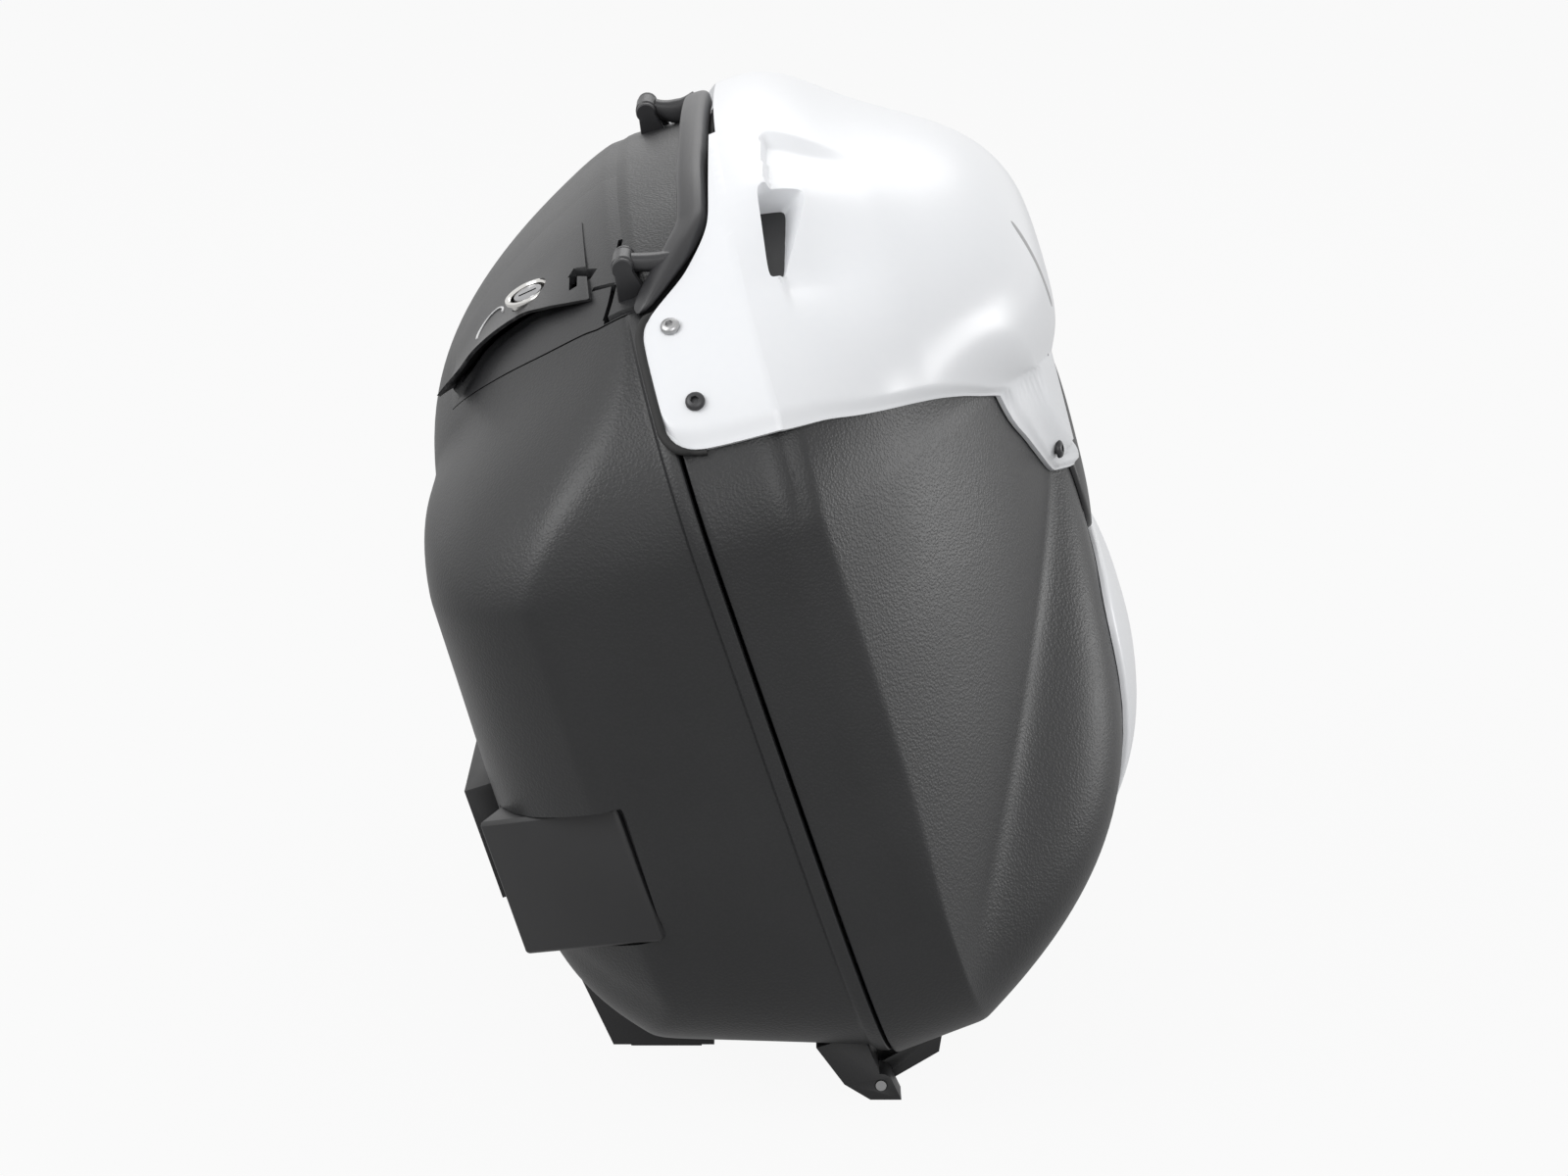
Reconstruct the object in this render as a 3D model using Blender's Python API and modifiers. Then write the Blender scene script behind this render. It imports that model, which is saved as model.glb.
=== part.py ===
"""Hard side case for a motorcycle: tray, hinged lid, carrying handle, release lever and key lock.

The case is modelled in its own axes and stood on its feet by one parent empty, which leans it
towards the motorcycle. In those axes X points from the motorcycle to the lid, Y runs along the
motorcycle from the near end to the far end and Z points up along the parting plane, which is X = 0.
"""
import math

import bmesh
import bpy
import numpy as np
from mathutils import Matrix, Vector

# Case body
LEAN = math.radians(18.0)        # the case leans towards the motorcycle when it stands on its feet
ORIGIN_HEIGHT = 0.026            # case origin above the ground
HALF_LENGTH = 0.222              # from the middle to the nose of an end wall
NOSE_HEIGHT = 0.228              # height of the end walls' furthest point
TOP_RISE = 0.126                 # top of the shells above the nose
TRAY_BOTTOM = -0.008             # bottom of the tray's rim
LID_BOTTOM = -0.012              # bottom of the lid's rim
TRAY_DROP = NOSE_HEIGHT - TRAY_BOTTOM
LID_DROP = NOSE_HEIGHT - LID_BOTTOM
BOTTOM_POWER = 8.0               # squareness of the lower corners
FACE_POWER = 2.6                 # and of the lid's outer face towards its middle
END_TAPER = 0.10                 # how far the end walls draw in below the nose
TRAY_DEPTH = 0.120               # at the nose's height
TRAY_TILT = 0.080                # the tray is shallower towards its top
TRAY_FLOOR_RISE = 0.31           # slope of the tray's underside towards the motorcycle
LID_DEPTH = 0.140
LID_BAND = 0.038                 # flat band between the parting line and the lid's crease
LID_TILT = 0.06                  # the lid is deeper towards its top
TRAY_BAND_Q = 0.30               # share of the way across the shell where the straight band ends
LID_BAND_Q = 0.25                # and the lid's
WALL = 0.003
DRAFT = 0.23                     # share of the outline lost per metre of moulding depth
FLANGE_WIDTH = 0.006
FLANGE_HEIGHT = 0.002
PARTING_GAP = 0.0014             # between the rims of the closed shells
GAP = 0.0003                     # clearance between pieces that touch
INSIDE_GAP = 0.00045             # clearance between a shell and what sits inside it
RUNNING_GAP = 0.0005             # clearance round pieces that move

# Rim seal
SEAL_WIDTH = 0.003
SEAL_DEPTH = 0.0090

# Lid hinges, which are the outer feet too
HINGE_SPAN = 0.140               # from the middle to the centre of each hinge
HINGE_LENGTH = 0.045
HINGE_PIN_X = -0.010
HINGE_PIN_LIFT = 0.0065          # pin axis above the ground line
HINGE_BARREL_RADIUS = 0.005
HINGE_PIN_RADIUS = 0.0022
HINGE_FOOT_HALF_WIDTH = 0.006
HINGE_BRACKET_REACH = 0.014      # from the pin to the bracket's bike-side edge
HINGE_LEAF_REACH = 0.030         # from the pin to the leaf's outer edge
HINGE_LEAF_THICKNESS = 0.0045

# Bike-side foot
RUNNER_X = -0.096
RUNNER_WIDTH = 0.040
RUNNER_FLARE = 0.004
RUNNER_TOP = 0.050
RUNNER_START = -0.108
RUNNER_END = 0.140
PAD_THICKNESS = 0.0025
PAD_LENGTH = 0.050
PAD_INSET = 0.006

# Carrier parts on the motorcycle side
BLOCK_TURN = math.radians(31.0)
BLOCK_LENGTH = 0.068
BLOCK_HEIGHT = 0.058
BLOCK_THICKNESS = 0.022
BLOCK_X = -0.098
BLOCK_END_INSET = 0.032          # from the nose to the middle of the block's face
BLOCK_Z = 0.112
POCKET_SIDE = 0.018              # open part of the pocket beside the block
SKIN_DEPTH = 0.0004              # pocket walls end this far inside the tray's outer face
RAIL_LENGTH = 0.250
RAIL_HEIGHT = 0.048
RAIL_Z = 0.118
RAIL_BACK = 0.016                # rail's back face behind the tray's back
RAIL_SEAT_DEPTH = 0.020
RAIL_SCREW_PITCH = 0.070
SCREW_SHANK_RADIUS = 0.0020
SCREW_HEAD_RADIUS = 0.0038
SCREW_HEAD_HEIGHT = 0.0022
RAIL_SCREW_LENGTH = 0.006
RAIL_SCREW_SINK = 0.0035         # screw seats below the rail's face

# Latch housing, lever and lock in the tray's upper near corner
HOUSING_T = (1.80, 2.37)         # stretch along the outline, as an angle
HOUSING_Q = (TRAY_BAND_Q - 0.22, TRAY_BAND_Q + 0.42)
LEVER_T = (1.95, 2.24)
LEVER_Q = (TRAY_BAND_Q + 0.03, TRAY_BAND_Q + 0.38)
LEVER_THICKNESS = 0.004
LEVER_PROUD = 0.0012
LEVER_SINK = 0.0030              # the lever's lid-side end lies lower than the housing
LEVER_BEAK = 0.0090              # and its bike-side corner stands up as a beak
SCOOP_T = (2.205, 2.26)          # finger scoop under the lever's overhang: it starts, and fades out
SCOOP_Q = (TRAY_BAND_Q + 0.10, TRAY_BAND_Q + 0.20)
SCOOP_DEPTH = 0.0060
LOCK_T = 2.112
LOCK_Q = TRAY_BAND_Q + 0.229
LOCK_NORMAL = (-0.12, -0.20, 0.97)
LOCK_BOSS_RADIUS = 0.0115
LOCK_BOSS_DEPTH = 0.0065
LOCK_BARREL_RADIUS = 0.0085
LOCK_BEZEL_RADIUS = 0.0100
LOCK_BEZEL_HEIGHT = 0.0014
LOCK_PLUG_RADIUS = 0.0062
LOCK_LENGTH = 0.018
KEYWAY_WIDTH = 0.0014
KEYWAY_LENGTH = 0.0078
KEYWAY_DEPTH = 0.0050
CAM_THICKNESS = 0.0024
CAM_LENGTH = 0.0120
CAM_WIDTH = 0.0060
BOLT_SIZE = (0.011, 0.008, 0.0045)
BOLT_T = 2.165
BOLT_GUIDE_WALL = 0.0022
BOLT_SEARCH_STEPS = (33, 33)

# Lid catch
CATCH_Y = -0.030
CATCH_DROP = 0.024               # catch below the top of the tray's inside
CATCH_SIZE = (0.030, 0.014, 0.006)
CATCH_TRAVEL = 0.010
CATCH_SETBACK = 0.004            # nose of the stored catch behind the parting plane
CATCH_GUIDE_WALL = 0.005
KEEPER_SETBACK = 0.003
KEEPER_LENGTH = 0.017

# Carrying handle
HANDLE_NEAR_Y = -0.148
HANDLE_FAR_Y = 0.030
HANDLE_AXIS_X = (-0.003, 0.011)  # at the near eye and the far eye
HANDLE_AXIS_LIFT = 0.0105        # axis above the tray's top
HANDLE_EYE_RADIUS = 0.0045
HANDLE_ARM_SHARE = 0.68          # arm's size at the eyes, as a share of the bar's
HANDLE_BAR_X = 0.026             # middle of the folded bar
HANDLE_POWER = 8.0               # squareness of the bends at its ends
HANDLE_RISE = 0.0115             # middle of the bar above the lid's top
HANDLE_WIDTH = 0.014
HANDLE_THICKNESS = 0.011
HANDLE_EYE_WIDTH = 0.010
HANDLE_PIN_RADIUS = 0.0020
SOCKET_CHEEK = 0.004
SOCKET_HALF_WIDTH = 0.0055
SOCKET_LID_SIDE = 0.0034         # cheeks on the lid side of the axis, where the arm leaves
SOCKET_FOOT = 0.0030             # foot on the tray's top beyond the boss
SOCKET_TOP = 0.0044              # and above the axis
SOCKET_SIDE_GAP = 0.0042         # room beside the eye for the arm, which leaves it at a slant

# White cover over the upper lid
COVER_STAND = 0.0042             # outer face above the lid
COVER_RIDGE = 0.0120             # extra height of the ridge beside the handle
COVER_RIDGE_X = 0.056
COVER_OUTER_Q = 0.86             # lower edge on the outer face
COVER_NEAR_EDGE_X = 0.0040
COVER_BAY_X = 0.0390             # edge along the handle bay
COVER_BAY_T = (1.00, 1.22, 2.15, 2.46)
COVER_SIDE_T = (2.81, 2.85, 2.90, 2.99, 3.12, 3.22, 3.55, 3.78)  # lower edge on the end, from rim to tip
COVER_SIDE_Q = (0.00, 0.25, 0.50, 0.70, 0.745, 0.79, 0.825, 0.86)
WINDOW_X = (0.0520, 0.0690)
WINDOW_Y = (-0.156, -0.102)
WINDOW_ROUND = 0.004
TRIM_RADIUS = 0.0013
TRIM_GAP = 0.0011
COVER_SCREWS = ((2.487, 0.053), (2.714, 0.068), (3.480, 0.836))

# Panels on the outer face
PANEL_CENTRE_Z = 0.078
PANEL_HALF_LENGTH = 0.074
PANEL_HALF_HEIGHT = 0.059
PANEL_POWER = 4.0
PANEL_EDGE = 0.0030
PANEL_CROWN = 0.0060
STRIP_CENTRE_Z = 0.181
STRIP_HALF_LENGTH = 0.046
STRIP_HALF_HEIGHT = 0.040
STRIP_POWER = 3.0
STRIP_EDGE = 0.0022
STRIP_CROWN = 0.0030

# Mesh counts
OUTLINE_STEPS = 48
PANEL_STEPS = 28
TRAY_RINGS = tuple(np.linspace(TRAY_BAND_Q, 0.90, 7))
LID_RINGS = (LID_BAND_Q, 0.33, 0.42, 0.52, 0.62, 0.72, 0.82, 0.92)
ROUND_STEPS = 24

# Section shapes at the end walls, the top and the bottom
TRAY_BANDS = (0.076, 0.012, 0.090)
TRAY_POWERS = (8.0, 2.9, 10.0)
LID_POWERS = (2.1, 4.6, 6.0)
TRAY_TOP_RANGE = (-0.10, 0.70)   # where the end walls turn into the top, as a share of the rise
LID_TOP_RANGE = (0.05, 0.90)

PLASTIC = ((0.045, 0.046, 0.048), 0.55, 0.0)
BLACK_PLASTIC = ((0.014, 0.014, 0.015), 0.42, 0.0)
RUBBER = ((0.010, 0.010, 0.010), 0.80, 0.0)
WHITE_PAINT = ((0.82, 0.83, 0.86), 0.18, 0.0)
STEEL = ((0.56, 0.56, 0.57), 0.30, 1.0)
DARK_STEEL = ((0.05, 0.05, 0.055), 0.40, 1.0)
CHROME = ((0.75, 0.75, 0.76), 0.16, 1.0)

for old in list(bpy.data.objects):
    bpy.data.objects.remove(old, do_unlink=True)

parts = bpy.data.collections.new("saddlebag")
cutters = bpy.data.collections.new("cutters")
for collection in (parts, cutters):
    bpy.context.scene.collection.children.link(collection)

case = bpy.data.objects.new("case_axes", None)
case.rotation_euler = (0.0, -LEAN, 0.0)
parts.objects.link(case)


# Surfaces of the two shells

def signed_power(value, power):
    return np.sign(value) * np.abs(value) ** power


def ease(low, high, value):
    share = np.clip((value - low) / (high - low), 0.0, 1.0)
    return share * share * (3.0 - 2.0 * share)


def by_side(angle, values, top_range):
    """Blend values given for the end walls, the top and the bottom round the outline."""
    end, top, bottom = values
    to_top = ease(*top_range, np.sin(angle))
    to_bottom = ease(0.50, 0.98, -np.sin(angle))
    return end * (1.0 - to_top - to_bottom) + top * to_top + bottom * to_bottom


def unit_outline(angle, corner_power):
    """Side outline of the case, one unit to each side: an arch above and a box below."""
    power = np.where(np.sin(angle) > 0.0, 2.0, corner_power)
    along = signed_power(np.cos(angle), 2.0 / power)
    up = signed_power(np.sin(angle), 2.0 / power)
    return along * (1.0 - END_TAPER * np.clip(-up, 0.0, 1.0) ** 1.2), up


def dome(q, band_q):
    """Split the way from the rim to the middle into the straight band and the closing dome."""
    band = np.clip(q / band_q, 0.0, 1.0)
    closing = np.clip((q - band_q) / (1.0 - band_q), 0.0, 1.0)
    return band, np.cos(closing * math.pi / 2)


def tray_surface(angle, q):
    angle, q = np.broadcast_arrays(np.asarray(angle, float), np.asarray(q, float))
    band, power = by_side(angle, TRAY_BANDS, TRAY_TOP_RANGE), by_side(angle, TRAY_POWERS, TRAY_TOP_RANGE)
    share, closing = dome(q, TRAY_BAND_Q)
    depth = band * share + (TRAY_DEPTH - band) * (1.0 - closing ** power)
    scale = (1.0 - DRAFT * band * share) * closing
    along, up = unit_outline(angle, BOTTOM_POWER)
    height = scale * np.where(up > 0.0, TOP_RISE, TRAY_DROP - TRAY_FLOOR_RISE * depth) * up
    depth = depth - TRAY_TILT * height * (1.0 - closing ** 2)
    return np.stack([-PARTING_GAP / 2 - depth, scale * HALF_LENGTH * along, NOSE_HEIGHT + height], -1)


def lid_corner_power(closing):
    """The lid's corners soften from the square rim to the rounded middle of its face."""
    return FACE_POWER + (BOTTOM_POWER - FACE_POWER) * closing ** 3


def lid_surface(angle, q):
    angle, q = np.broadcast_arrays(np.asarray(angle, float), np.asarray(q, float))
    share, closing = dome(q, LID_BAND_Q)
    power = by_side(angle, LID_POWERS, LID_TOP_RANGE)
    depth = LID_BAND * share + (LID_DEPTH - LID_BAND) * (1.0 - closing ** power)
    scale = (1.0 - DRAFT * LID_BAND * share) * closing
    along, up = unit_outline(angle, lid_corner_power(closing))
    height = scale * np.where(up > 0.0, TOP_RISE, LID_DROP) * up
    depth = depth + LID_TILT * height * (1.0 - closing ** 2)
    return np.stack([PARTING_GAP / 2 + depth, scale * HALF_LENGTH * along, NOSE_HEIGHT + height], -1)


def outward(surface, angle, q):
    """Unit normals that point away from the inside of the case."""
    step = 1e-4
    across = surface(angle + step, q) - surface(angle - step, q)
    inward = surface(angle, np.minimum(q + step, 1.0)) - surface(angle, np.maximum(q - step, 0.0))
    normal = np.cross(across, inward)
    normal /= np.maximum(np.linalg.norm(normal, axis=-1, keepdims=True), 1e-12)
    middle = np.array([0.0, 0.0, NOSE_HEIGHT])
    facing = np.sum(normal * (surface(angle, q) - middle), axis=-1, keepdims=True)
    return np.where(facing < 0.0, -normal, normal)


def lifted(surface, angle, q, lift):
    return surface(angle, q) + np.asarray(lift)[..., None] * outward(surface, angle, q)


def lid_face(along, up):
    """Point of the lid's outer face over a place in the side view, found by halving."""
    height = up - NOSE_HEIGHT
    rise = height / np.where(height > 0.0, TOP_RISE, LID_DROP) / (1.0 - DRAFT * LID_BAND)
    side = along / HALF_LENGTH / (1.0 - DRAFT * LID_BAND)
    low, high = np.full(rise.shape, 1e-6), np.ones(rise.shape)
    for _ in range(40):
        closing = (low + high) / 2
        power = np.where(height > 0.0, 2.0, lid_corner_power(closing))
        level_up = rise / closing
        taper = 1.0 - END_TAPER * np.clip(-level_up, 0.0, 1.0) ** 1.2
        level_side = side / closing / taper
        outside = np.abs(level_side) ** power + np.abs(level_up) ** power > 1.0
        low, high = np.where(outside, closing, low), np.where(outside, high, closing)
    angle = np.arctan2(signed_power(level_up, power / 2), signed_power(level_side, power / 2))
    depth = LID_BAND + (LID_DEPTH - LID_BAND) * (1.0 - closing ** by_side(angle, LID_POWERS, LID_TOP_RANGE))
    depth = depth + LID_TILT * height * (1.0 - closing ** 2)
    return np.stack([PARTING_GAP / 2 + depth, along, up], -1)


def tray_top(y):
    """Height of the tray's top at a place along the case, at the rim."""
    return NOSE_HEIGHT + TOP_RISE * math.sqrt(1.0 - (y / HALF_LENGTH) ** 2)


def ground(x):
    """Height of the ground line in case axes."""
    return -(ORIGIN_HEIGHT + x * math.sin(LEAN)) / math.cos(LEAN)


# Objects

def material(name, look):
    made = bpy.data.materials.get(name)
    if made is None:
        made = bpy.data.materials.new(name)
        made.use_nodes = True
        shader = made.node_tree.nodes["Principled BSDF"]
        colour, roughness, metallic = look
        shader.inputs["Base Color"].default_value = (*colour, 1.0)
        shader.inputs["Roughness"].default_value = roughness
        shader.inputs["Metallic"].default_value = metallic
    return made


LOOKS = {
    "grained_plastic": PLASTIC, "black_plastic": BLACK_PLASTIC, "rubber": RUBBER,
    "white_paint": WHITE_PAINT, "steel": STEEL, "dark_steel": DARK_STEEL, "chrome": CHROME,
}


def place(name, mesh, look=None, pivot=(0.0, 0.0, 0.0), smooth=True):
    """Make an object in case axes, with its origin on the pivot. Without a look it is a cutter."""
    mesh.transform(Matrix.Translation(-Vector(pivot)))
    made = bpy.data.objects.new(name, mesh)
    made.parent = case
    made.location = pivot
    if look is None:
        cutters.objects.link(made)
        made.hide_render = True
        made.display_type = "WIRE"
    else:
        parts.objects.link(made)
        mesh.materials.append(material(look, LOOKS[look]))
        if smooth:
            mesh.shade_smooth()
            mesh.set_sharp_from_angle(angle=math.radians(35.0))
    return made


def mesh_of(name, shape):
    """Close a bmesh into a mesh whose faces point out."""
    bmesh.ops.recalc_face_normals(shape, faces=shape.faces)
    mesh = bpy.data.meshes.new(name)
    shape.to_mesh(mesh)
    shape.free()
    return mesh


def skin(shape, first, second):
    """Join two closed rings with triangles, all split the same way so that offset skins stay alike."""
    count = len(first)
    for i in range(count):
        j = (i + 1) % count
        shape.faces.new((first[i], first[j], second[j]))
        shape.faces.new((first[i], second[j], second[i]))


def fan(shape, ring, tip):
    for i in range(len(ring)):
        shape.faces.new((ring[i], ring[(i + 1) % len(ring)], tip))


def loft(name, rings, pole=None, cap=False):
    """Join closed rings of points, with an optional last point and an optional flat cap at the start."""
    shape = bmesh.new()
    rows = [[shape.verts.new(point) for point in ring] for ring in rings]
    for first, second in zip(rows, rows[1:]):
        skin(shape, first, second)
    if pole is not None:
        fan(shape, rows[-1], shape.verts.new(pole))
    if cap:
        shape.faces.new(rows[0])
    return mesh_of(name, shape)


def slab(name, outer, inner):
    """Join two grids of points, an outer and an inner face, into one closed plate."""
    shape = bmesh.new()
    faces = [[[shape.verts.new(point) for point in row] for row in grid] for grid in (outer, inner)]
    high, wide = outer.shape[:2]
    for face in faces:
        for i in range(high - 1):
            for j in range(wide - 1):
                shape.faces.new((face[i][j], face[i + 1][j], face[i + 1][j + 1]))
                shape.faces.new((face[i][j], face[i + 1][j + 1], face[i][j + 1]))
    edge = [(i, 0) for i in range(high)] + [(high - 1, j) for j in range(1, wide)]
    edge += [(i, wide - 1) for i in range(high - 2, -1, -1)] + [(0, j) for j in range(wide - 2, 0, -1)]
    for (a, b), (c, d) in zip(edge, edge[1:] + edge[:1]):
        shape.faces.new((faces[0][a][b], faces[0][c][d], faces[1][c][d], faces[1][a][b]))
    return mesh_of(name, shape)


def disc(name, outer, inner):
    """Close two stacks of rings, each ending at a middle point, into one round plate."""
    shape = bmesh.new()
    stacks = []
    for rings, middle in (outer, inner):
        rows = [[shape.verts.new(point) for point in ring] for ring in rings]
        for first, second in zip(rows, rows[1:]):
            skin(shape, first, second)
        fan(shape, rows[-1], shape.verts.new(middle))
        stacks.append(rows[0])
    skin(shape, *stacks)
    return mesh_of(name, shape)


def box_mesh(name, low, high, turn=None):
    shape = bmesh.new()
    bmesh.ops.create_cube(shape, size=1.0)
    size = Vector(high) - Vector(low)
    middle = (Vector(high) + Vector(low)) / 2
    move = Matrix.Translation(middle) if turn is None else turn @ Matrix.Translation(middle)
    bmesh.ops.transform(shape, matrix=move @ Matrix.Diagonal((*size, 1.0)), verts=shape.verts)
    return mesh_of(name, shape)


def rod_mesh(name, start, end, radius, steps=ROUND_STEPS, end_radius=None):
    shape = bmesh.new()
    start, end = Vector(start), Vector(end)
    bmesh.ops.create_cone(
        shape, cap_ends=True, segments=steps, radius1=radius,
        radius2=radius if end_radius is None else end_radius, depth=(end - start).length)
    turn = (end - start).to_track_quat("Z", "Y").to_matrix().to_4x4()
    bmesh.ops.transform(shape, matrix=Matrix.Translation((start + end) / 2) @ turn, verts=shape.verts)
    return mesh_of(name, shape)


def prism_mesh(name, outline, start, end):
    """Extrude an outline in the case's X and Z along Y."""
    shape = bmesh.new()
    face = shape.faces.new([shape.verts.new((x, start, z)) for x, z in outline])
    grown = bmesh.ops.extrude_face_region(shape, geom=[face])
    moved = [item for item in grown["geom"] if isinstance(item, bmesh.types.BMVert)]
    bmesh.ops.translate(shape, vec=(0.0, end - start, 0.0), verts=moved)
    return mesh_of(name, shape)


def combine(target, other, operation):
    boolean = target.modifiers.new(f"{operation.lower()}_{other.name}", "BOOLEAN")
    boolean.operation = operation
    boolean.solver = "EXACT"
    boolean.object = other


def cut(target, *others):
    for other in others:
        combine(target, other, "DIFFERENCE")


def soften(target, width, segments=2):
    bevel = target.modifiers.new("soft_edges", "BEVEL")
    bevel.width = width
    bevel.segments = segments
    bevel.limit_method = "ANGLE"
    bevel.angle_limit = math.radians(40.0)


def thicken(target, thickness):
    shell = target.modifiers.new("wall", "SOLIDIFY")
    shell.thickness = thickness
    shell.offset = -1.0
    shell.use_even_offset = True


angles = np.linspace(0.0, 2.0 * math.pi, OUTLINE_STEPS, endpoint=False)


def shell_rings(surface, rings, lift):
    return [lifted(surface, angles, np.full(OUTLINE_STEPS, q), np.full(OUTLINE_STEPS, lift)) for q in rings]


def tray_pole(lift):
    return (-PARTING_GAP / 2 - TRAY_DEPTH - lift, 0.0, NOSE_HEIGHT)


def lid_pole(lift):
    return (PARTING_GAP / 2 + LID_DEPTH + lift, 0.0, NOSE_HEIGHT)


def rim_out():
    """Directions square to the rim, in the parting plane."""
    rim = outward(tray_surface, angles, np.zeros(OUTLINE_STEPS))
    rim[:, 0] = 0.0
    return rim / np.linalg.norm(rim, axis=1, keepdims=True)


def rim_ring(offset, x):
    """Ring round the rim, offset in the parting plane and moved to a place along X."""
    ring = tray_surface(angles, np.zeros(OUTLINE_STEPS)) + offset * rim_out()
    ring[:, 0] = x
    return ring


def flange_rings(lift):
    """Raised flange round the tray's rim, square to the parting plane."""
    band = by_side(angles, TRAY_BANDS, TRAY_TOP_RANGE)
    rings = []
    for depth, height in ((0.0, FLANGE_HEIGHT), (FLANGE_WIDTH + lift, FLANGE_HEIGHT),
                          (FLANGE_WIDTH + FLANGE_HEIGHT / 2 + lift, 0.0)):
        ring = tray_surface(angles, TRAY_BAND_Q * depth / band)
        rings.append(ring + (height + lift) * rim_out())
    return rings


def fitting_solid(name, rows, pole):
    """Closed solid of a shell's outside or inside, used to fit the pieces that sit against it."""
    return place(name, loft(name, rows, pole, cap=True))


# Reference solids: the outside of each shell with clearance, and the space inside it
inside_lift = -WALL - INSIDE_GAP
tray_fill = fitting_solid(
    "tray_fill", flange_rings(GAP) + shell_rings(tray_surface, TRAY_RINGS, GAP), tray_pole(GAP))
tray_core = fitting_solid(
    "tray_core", shell_rings(tray_surface, (0.0,) + TRAY_RINGS, inside_lift), tray_pole(inside_lift))
tray_skin = fitting_solid(
    "tray_skin", shell_rings(tray_surface, (0.0,) + TRAY_RINGS, -SKIN_DEPTH), tray_pole(-SKIN_DEPTH))
lid_fill = fitting_solid(
    "lid_fill", shell_rings(lid_surface, (0.0,) + LID_RINGS, GAP), lid_pole(GAP))
lid_core = fitting_solid(
    "lid_core", shell_rings(lid_surface, (0.0,) + LID_RINGS, inside_lift), lid_pole(inside_lift))
parting_fill = fitting_solid(
    "parting_fill", [rim_ring(FLANGE_HEIGHT + GAP, x) for x in (-WALL, WALL)], (WALL, 0.0, NOSE_HEIGHT))

# Shells
inner_shell = place(
    "inner_shell",
    loft("inner_shell", flange_rings(0.0) + shell_rings(tray_surface, TRAY_RINGS, 0.0), tray_pole(0.0)),
    "grained_plastic")
thicken(inner_shell, WALL)

lid_shell = place(
    "lid_shell",
    loft("lid_shell", shell_rings(lid_surface, (0.0,) + LID_RINGS, 0.0), lid_pole(0.0)),
    "grained_plastic")
thicken(lid_shell, WALL)


def rim_seal():
    """Rubber ring that lies inside the tray's rim."""
    outer, inner = 0.0, -WALL - GAP - SEAL_WIDTH
    front = -PARTING_GAP / 2 - GAP
    back = front - SEAL_DEPTH
    corners = ((outer, front), (outer, back), (inner, back), (inner, front))
    shape = bmesh.new()
    rows = [[shape.verts.new(point) for point in rim_ring(*corner)] for corner in corners]
    for first, second in zip(rows, rows[1:] + rows[:1]):
        skin(shape, first, second)
    combine(place("rim_seal", mesh_of("rim_seal", shape), "rubber"), tray_core, "INTERSECT")


rim_seal()


# Latch housing, lever and lock

def patch(surface, t_range, q_range, steps, lift, margin=0.0):
    """Grid of points over a stretch of a shell, grown by a margin. The lift may be a function."""
    t_low, t_high = t_range
    q_low, q_high = q_range
    middle_t, middle_q = (t_low + t_high) / 2, (q_low + q_high) / 2
    centre = surface(np.array(middle_t), np.array(middle_q))
    per_t = np.linalg.norm(surface(np.array(t_high), np.array(middle_q)) - centre) / (t_high - middle_t)
    per_q = np.linalg.norm(surface(np.array(middle_t), np.array(q_high)) - centre) / (q_high - middle_q)
    t_values = np.linspace(t_low - margin / per_t, t_high + margin / per_t, steps[0])
    q_values = np.linspace(q_low - margin / per_q, q_high + margin / per_q, steps[1])
    grid_t, grid_q = np.meshgrid(t_values, q_values, indexing="ij")
    height = lift(grid_t, grid_q) if callable(lift) else np.full(grid_t.shape, lift)
    return lifted(surface, grid_t, grid_q, height)


PATCH_STEPS = (9, 9)
HOUSING_STEPS = (15, 10)
CUT_DEPTH = 0.012


def patch_cutter(name, t_range, q_range, steps=PATCH_STEPS, depth=CUT_DEPTH):
    outer = patch(tray_surface, t_range, q_range, steps, depth, RUNNING_GAP)
    inner = patch(tray_surface, t_range, q_range, steps, -depth, RUNNING_GAP)
    return place(name, slab(name, outer, inner))


def scoop(angle, q):
    """Outer face of the housing, a little under the shell's: it sinks under the lever's overhang."""
    return -GAP - SCOOP_DEPTH * ease(*SCOOP_Q, q) * (1.0 - ease(SCOOP_T[1], HOUSING_T[1], angle))


def lever_rise(angle, q):
    """Outer face of the lever over the shell: sunk at the lid-side end, lifted towards the beak."""
    down = np.clip((angle - LEVER_T[0]) / (LEVER_T[1] - LEVER_T[0]), 0.0, 1.0) ** 1.5
    across = np.clip((q - LEVER_Q[0]) / (LEVER_Q[1] - LEVER_Q[0]), 0.0, 1.0)
    return LEVER_PROUD + down * (LEVER_BEAK * across ** 2 - LEVER_SINK * (1.0 - across))


def lever_under(angle, q):
    return lever_rise(angle, q) - LEVER_THICKNESS


housing_hole = patch_cutter("housing_hole", HOUSING_T, HOUSING_Q, HOUSING_STEPS, 2 * WALL)
lever_hole = patch_cutter("lever_hole", (LEVER_T[0], SCOOP_T[0]), LEVER_Q)
bolt_hole = patch_cutter("bolt_hole", LEVER_T, (LEVER_Q[0], SCOOP_Q[1]))
cut(inner_shell, housing_hole)

latch_housing = place("latch_housing", slab(
    "latch_housing",
    patch(tray_surface, HOUSING_T, HOUSING_Q, HOUSING_STEPS, scoop),
    patch(tray_surface, HOUSING_T, HOUSING_Q, HOUSING_STEPS, lambda angle, q: scoop(angle, q) - WALL)),
    "grained_plastic")
cut(latch_housing, lever_hole, bolt_hole)

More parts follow.
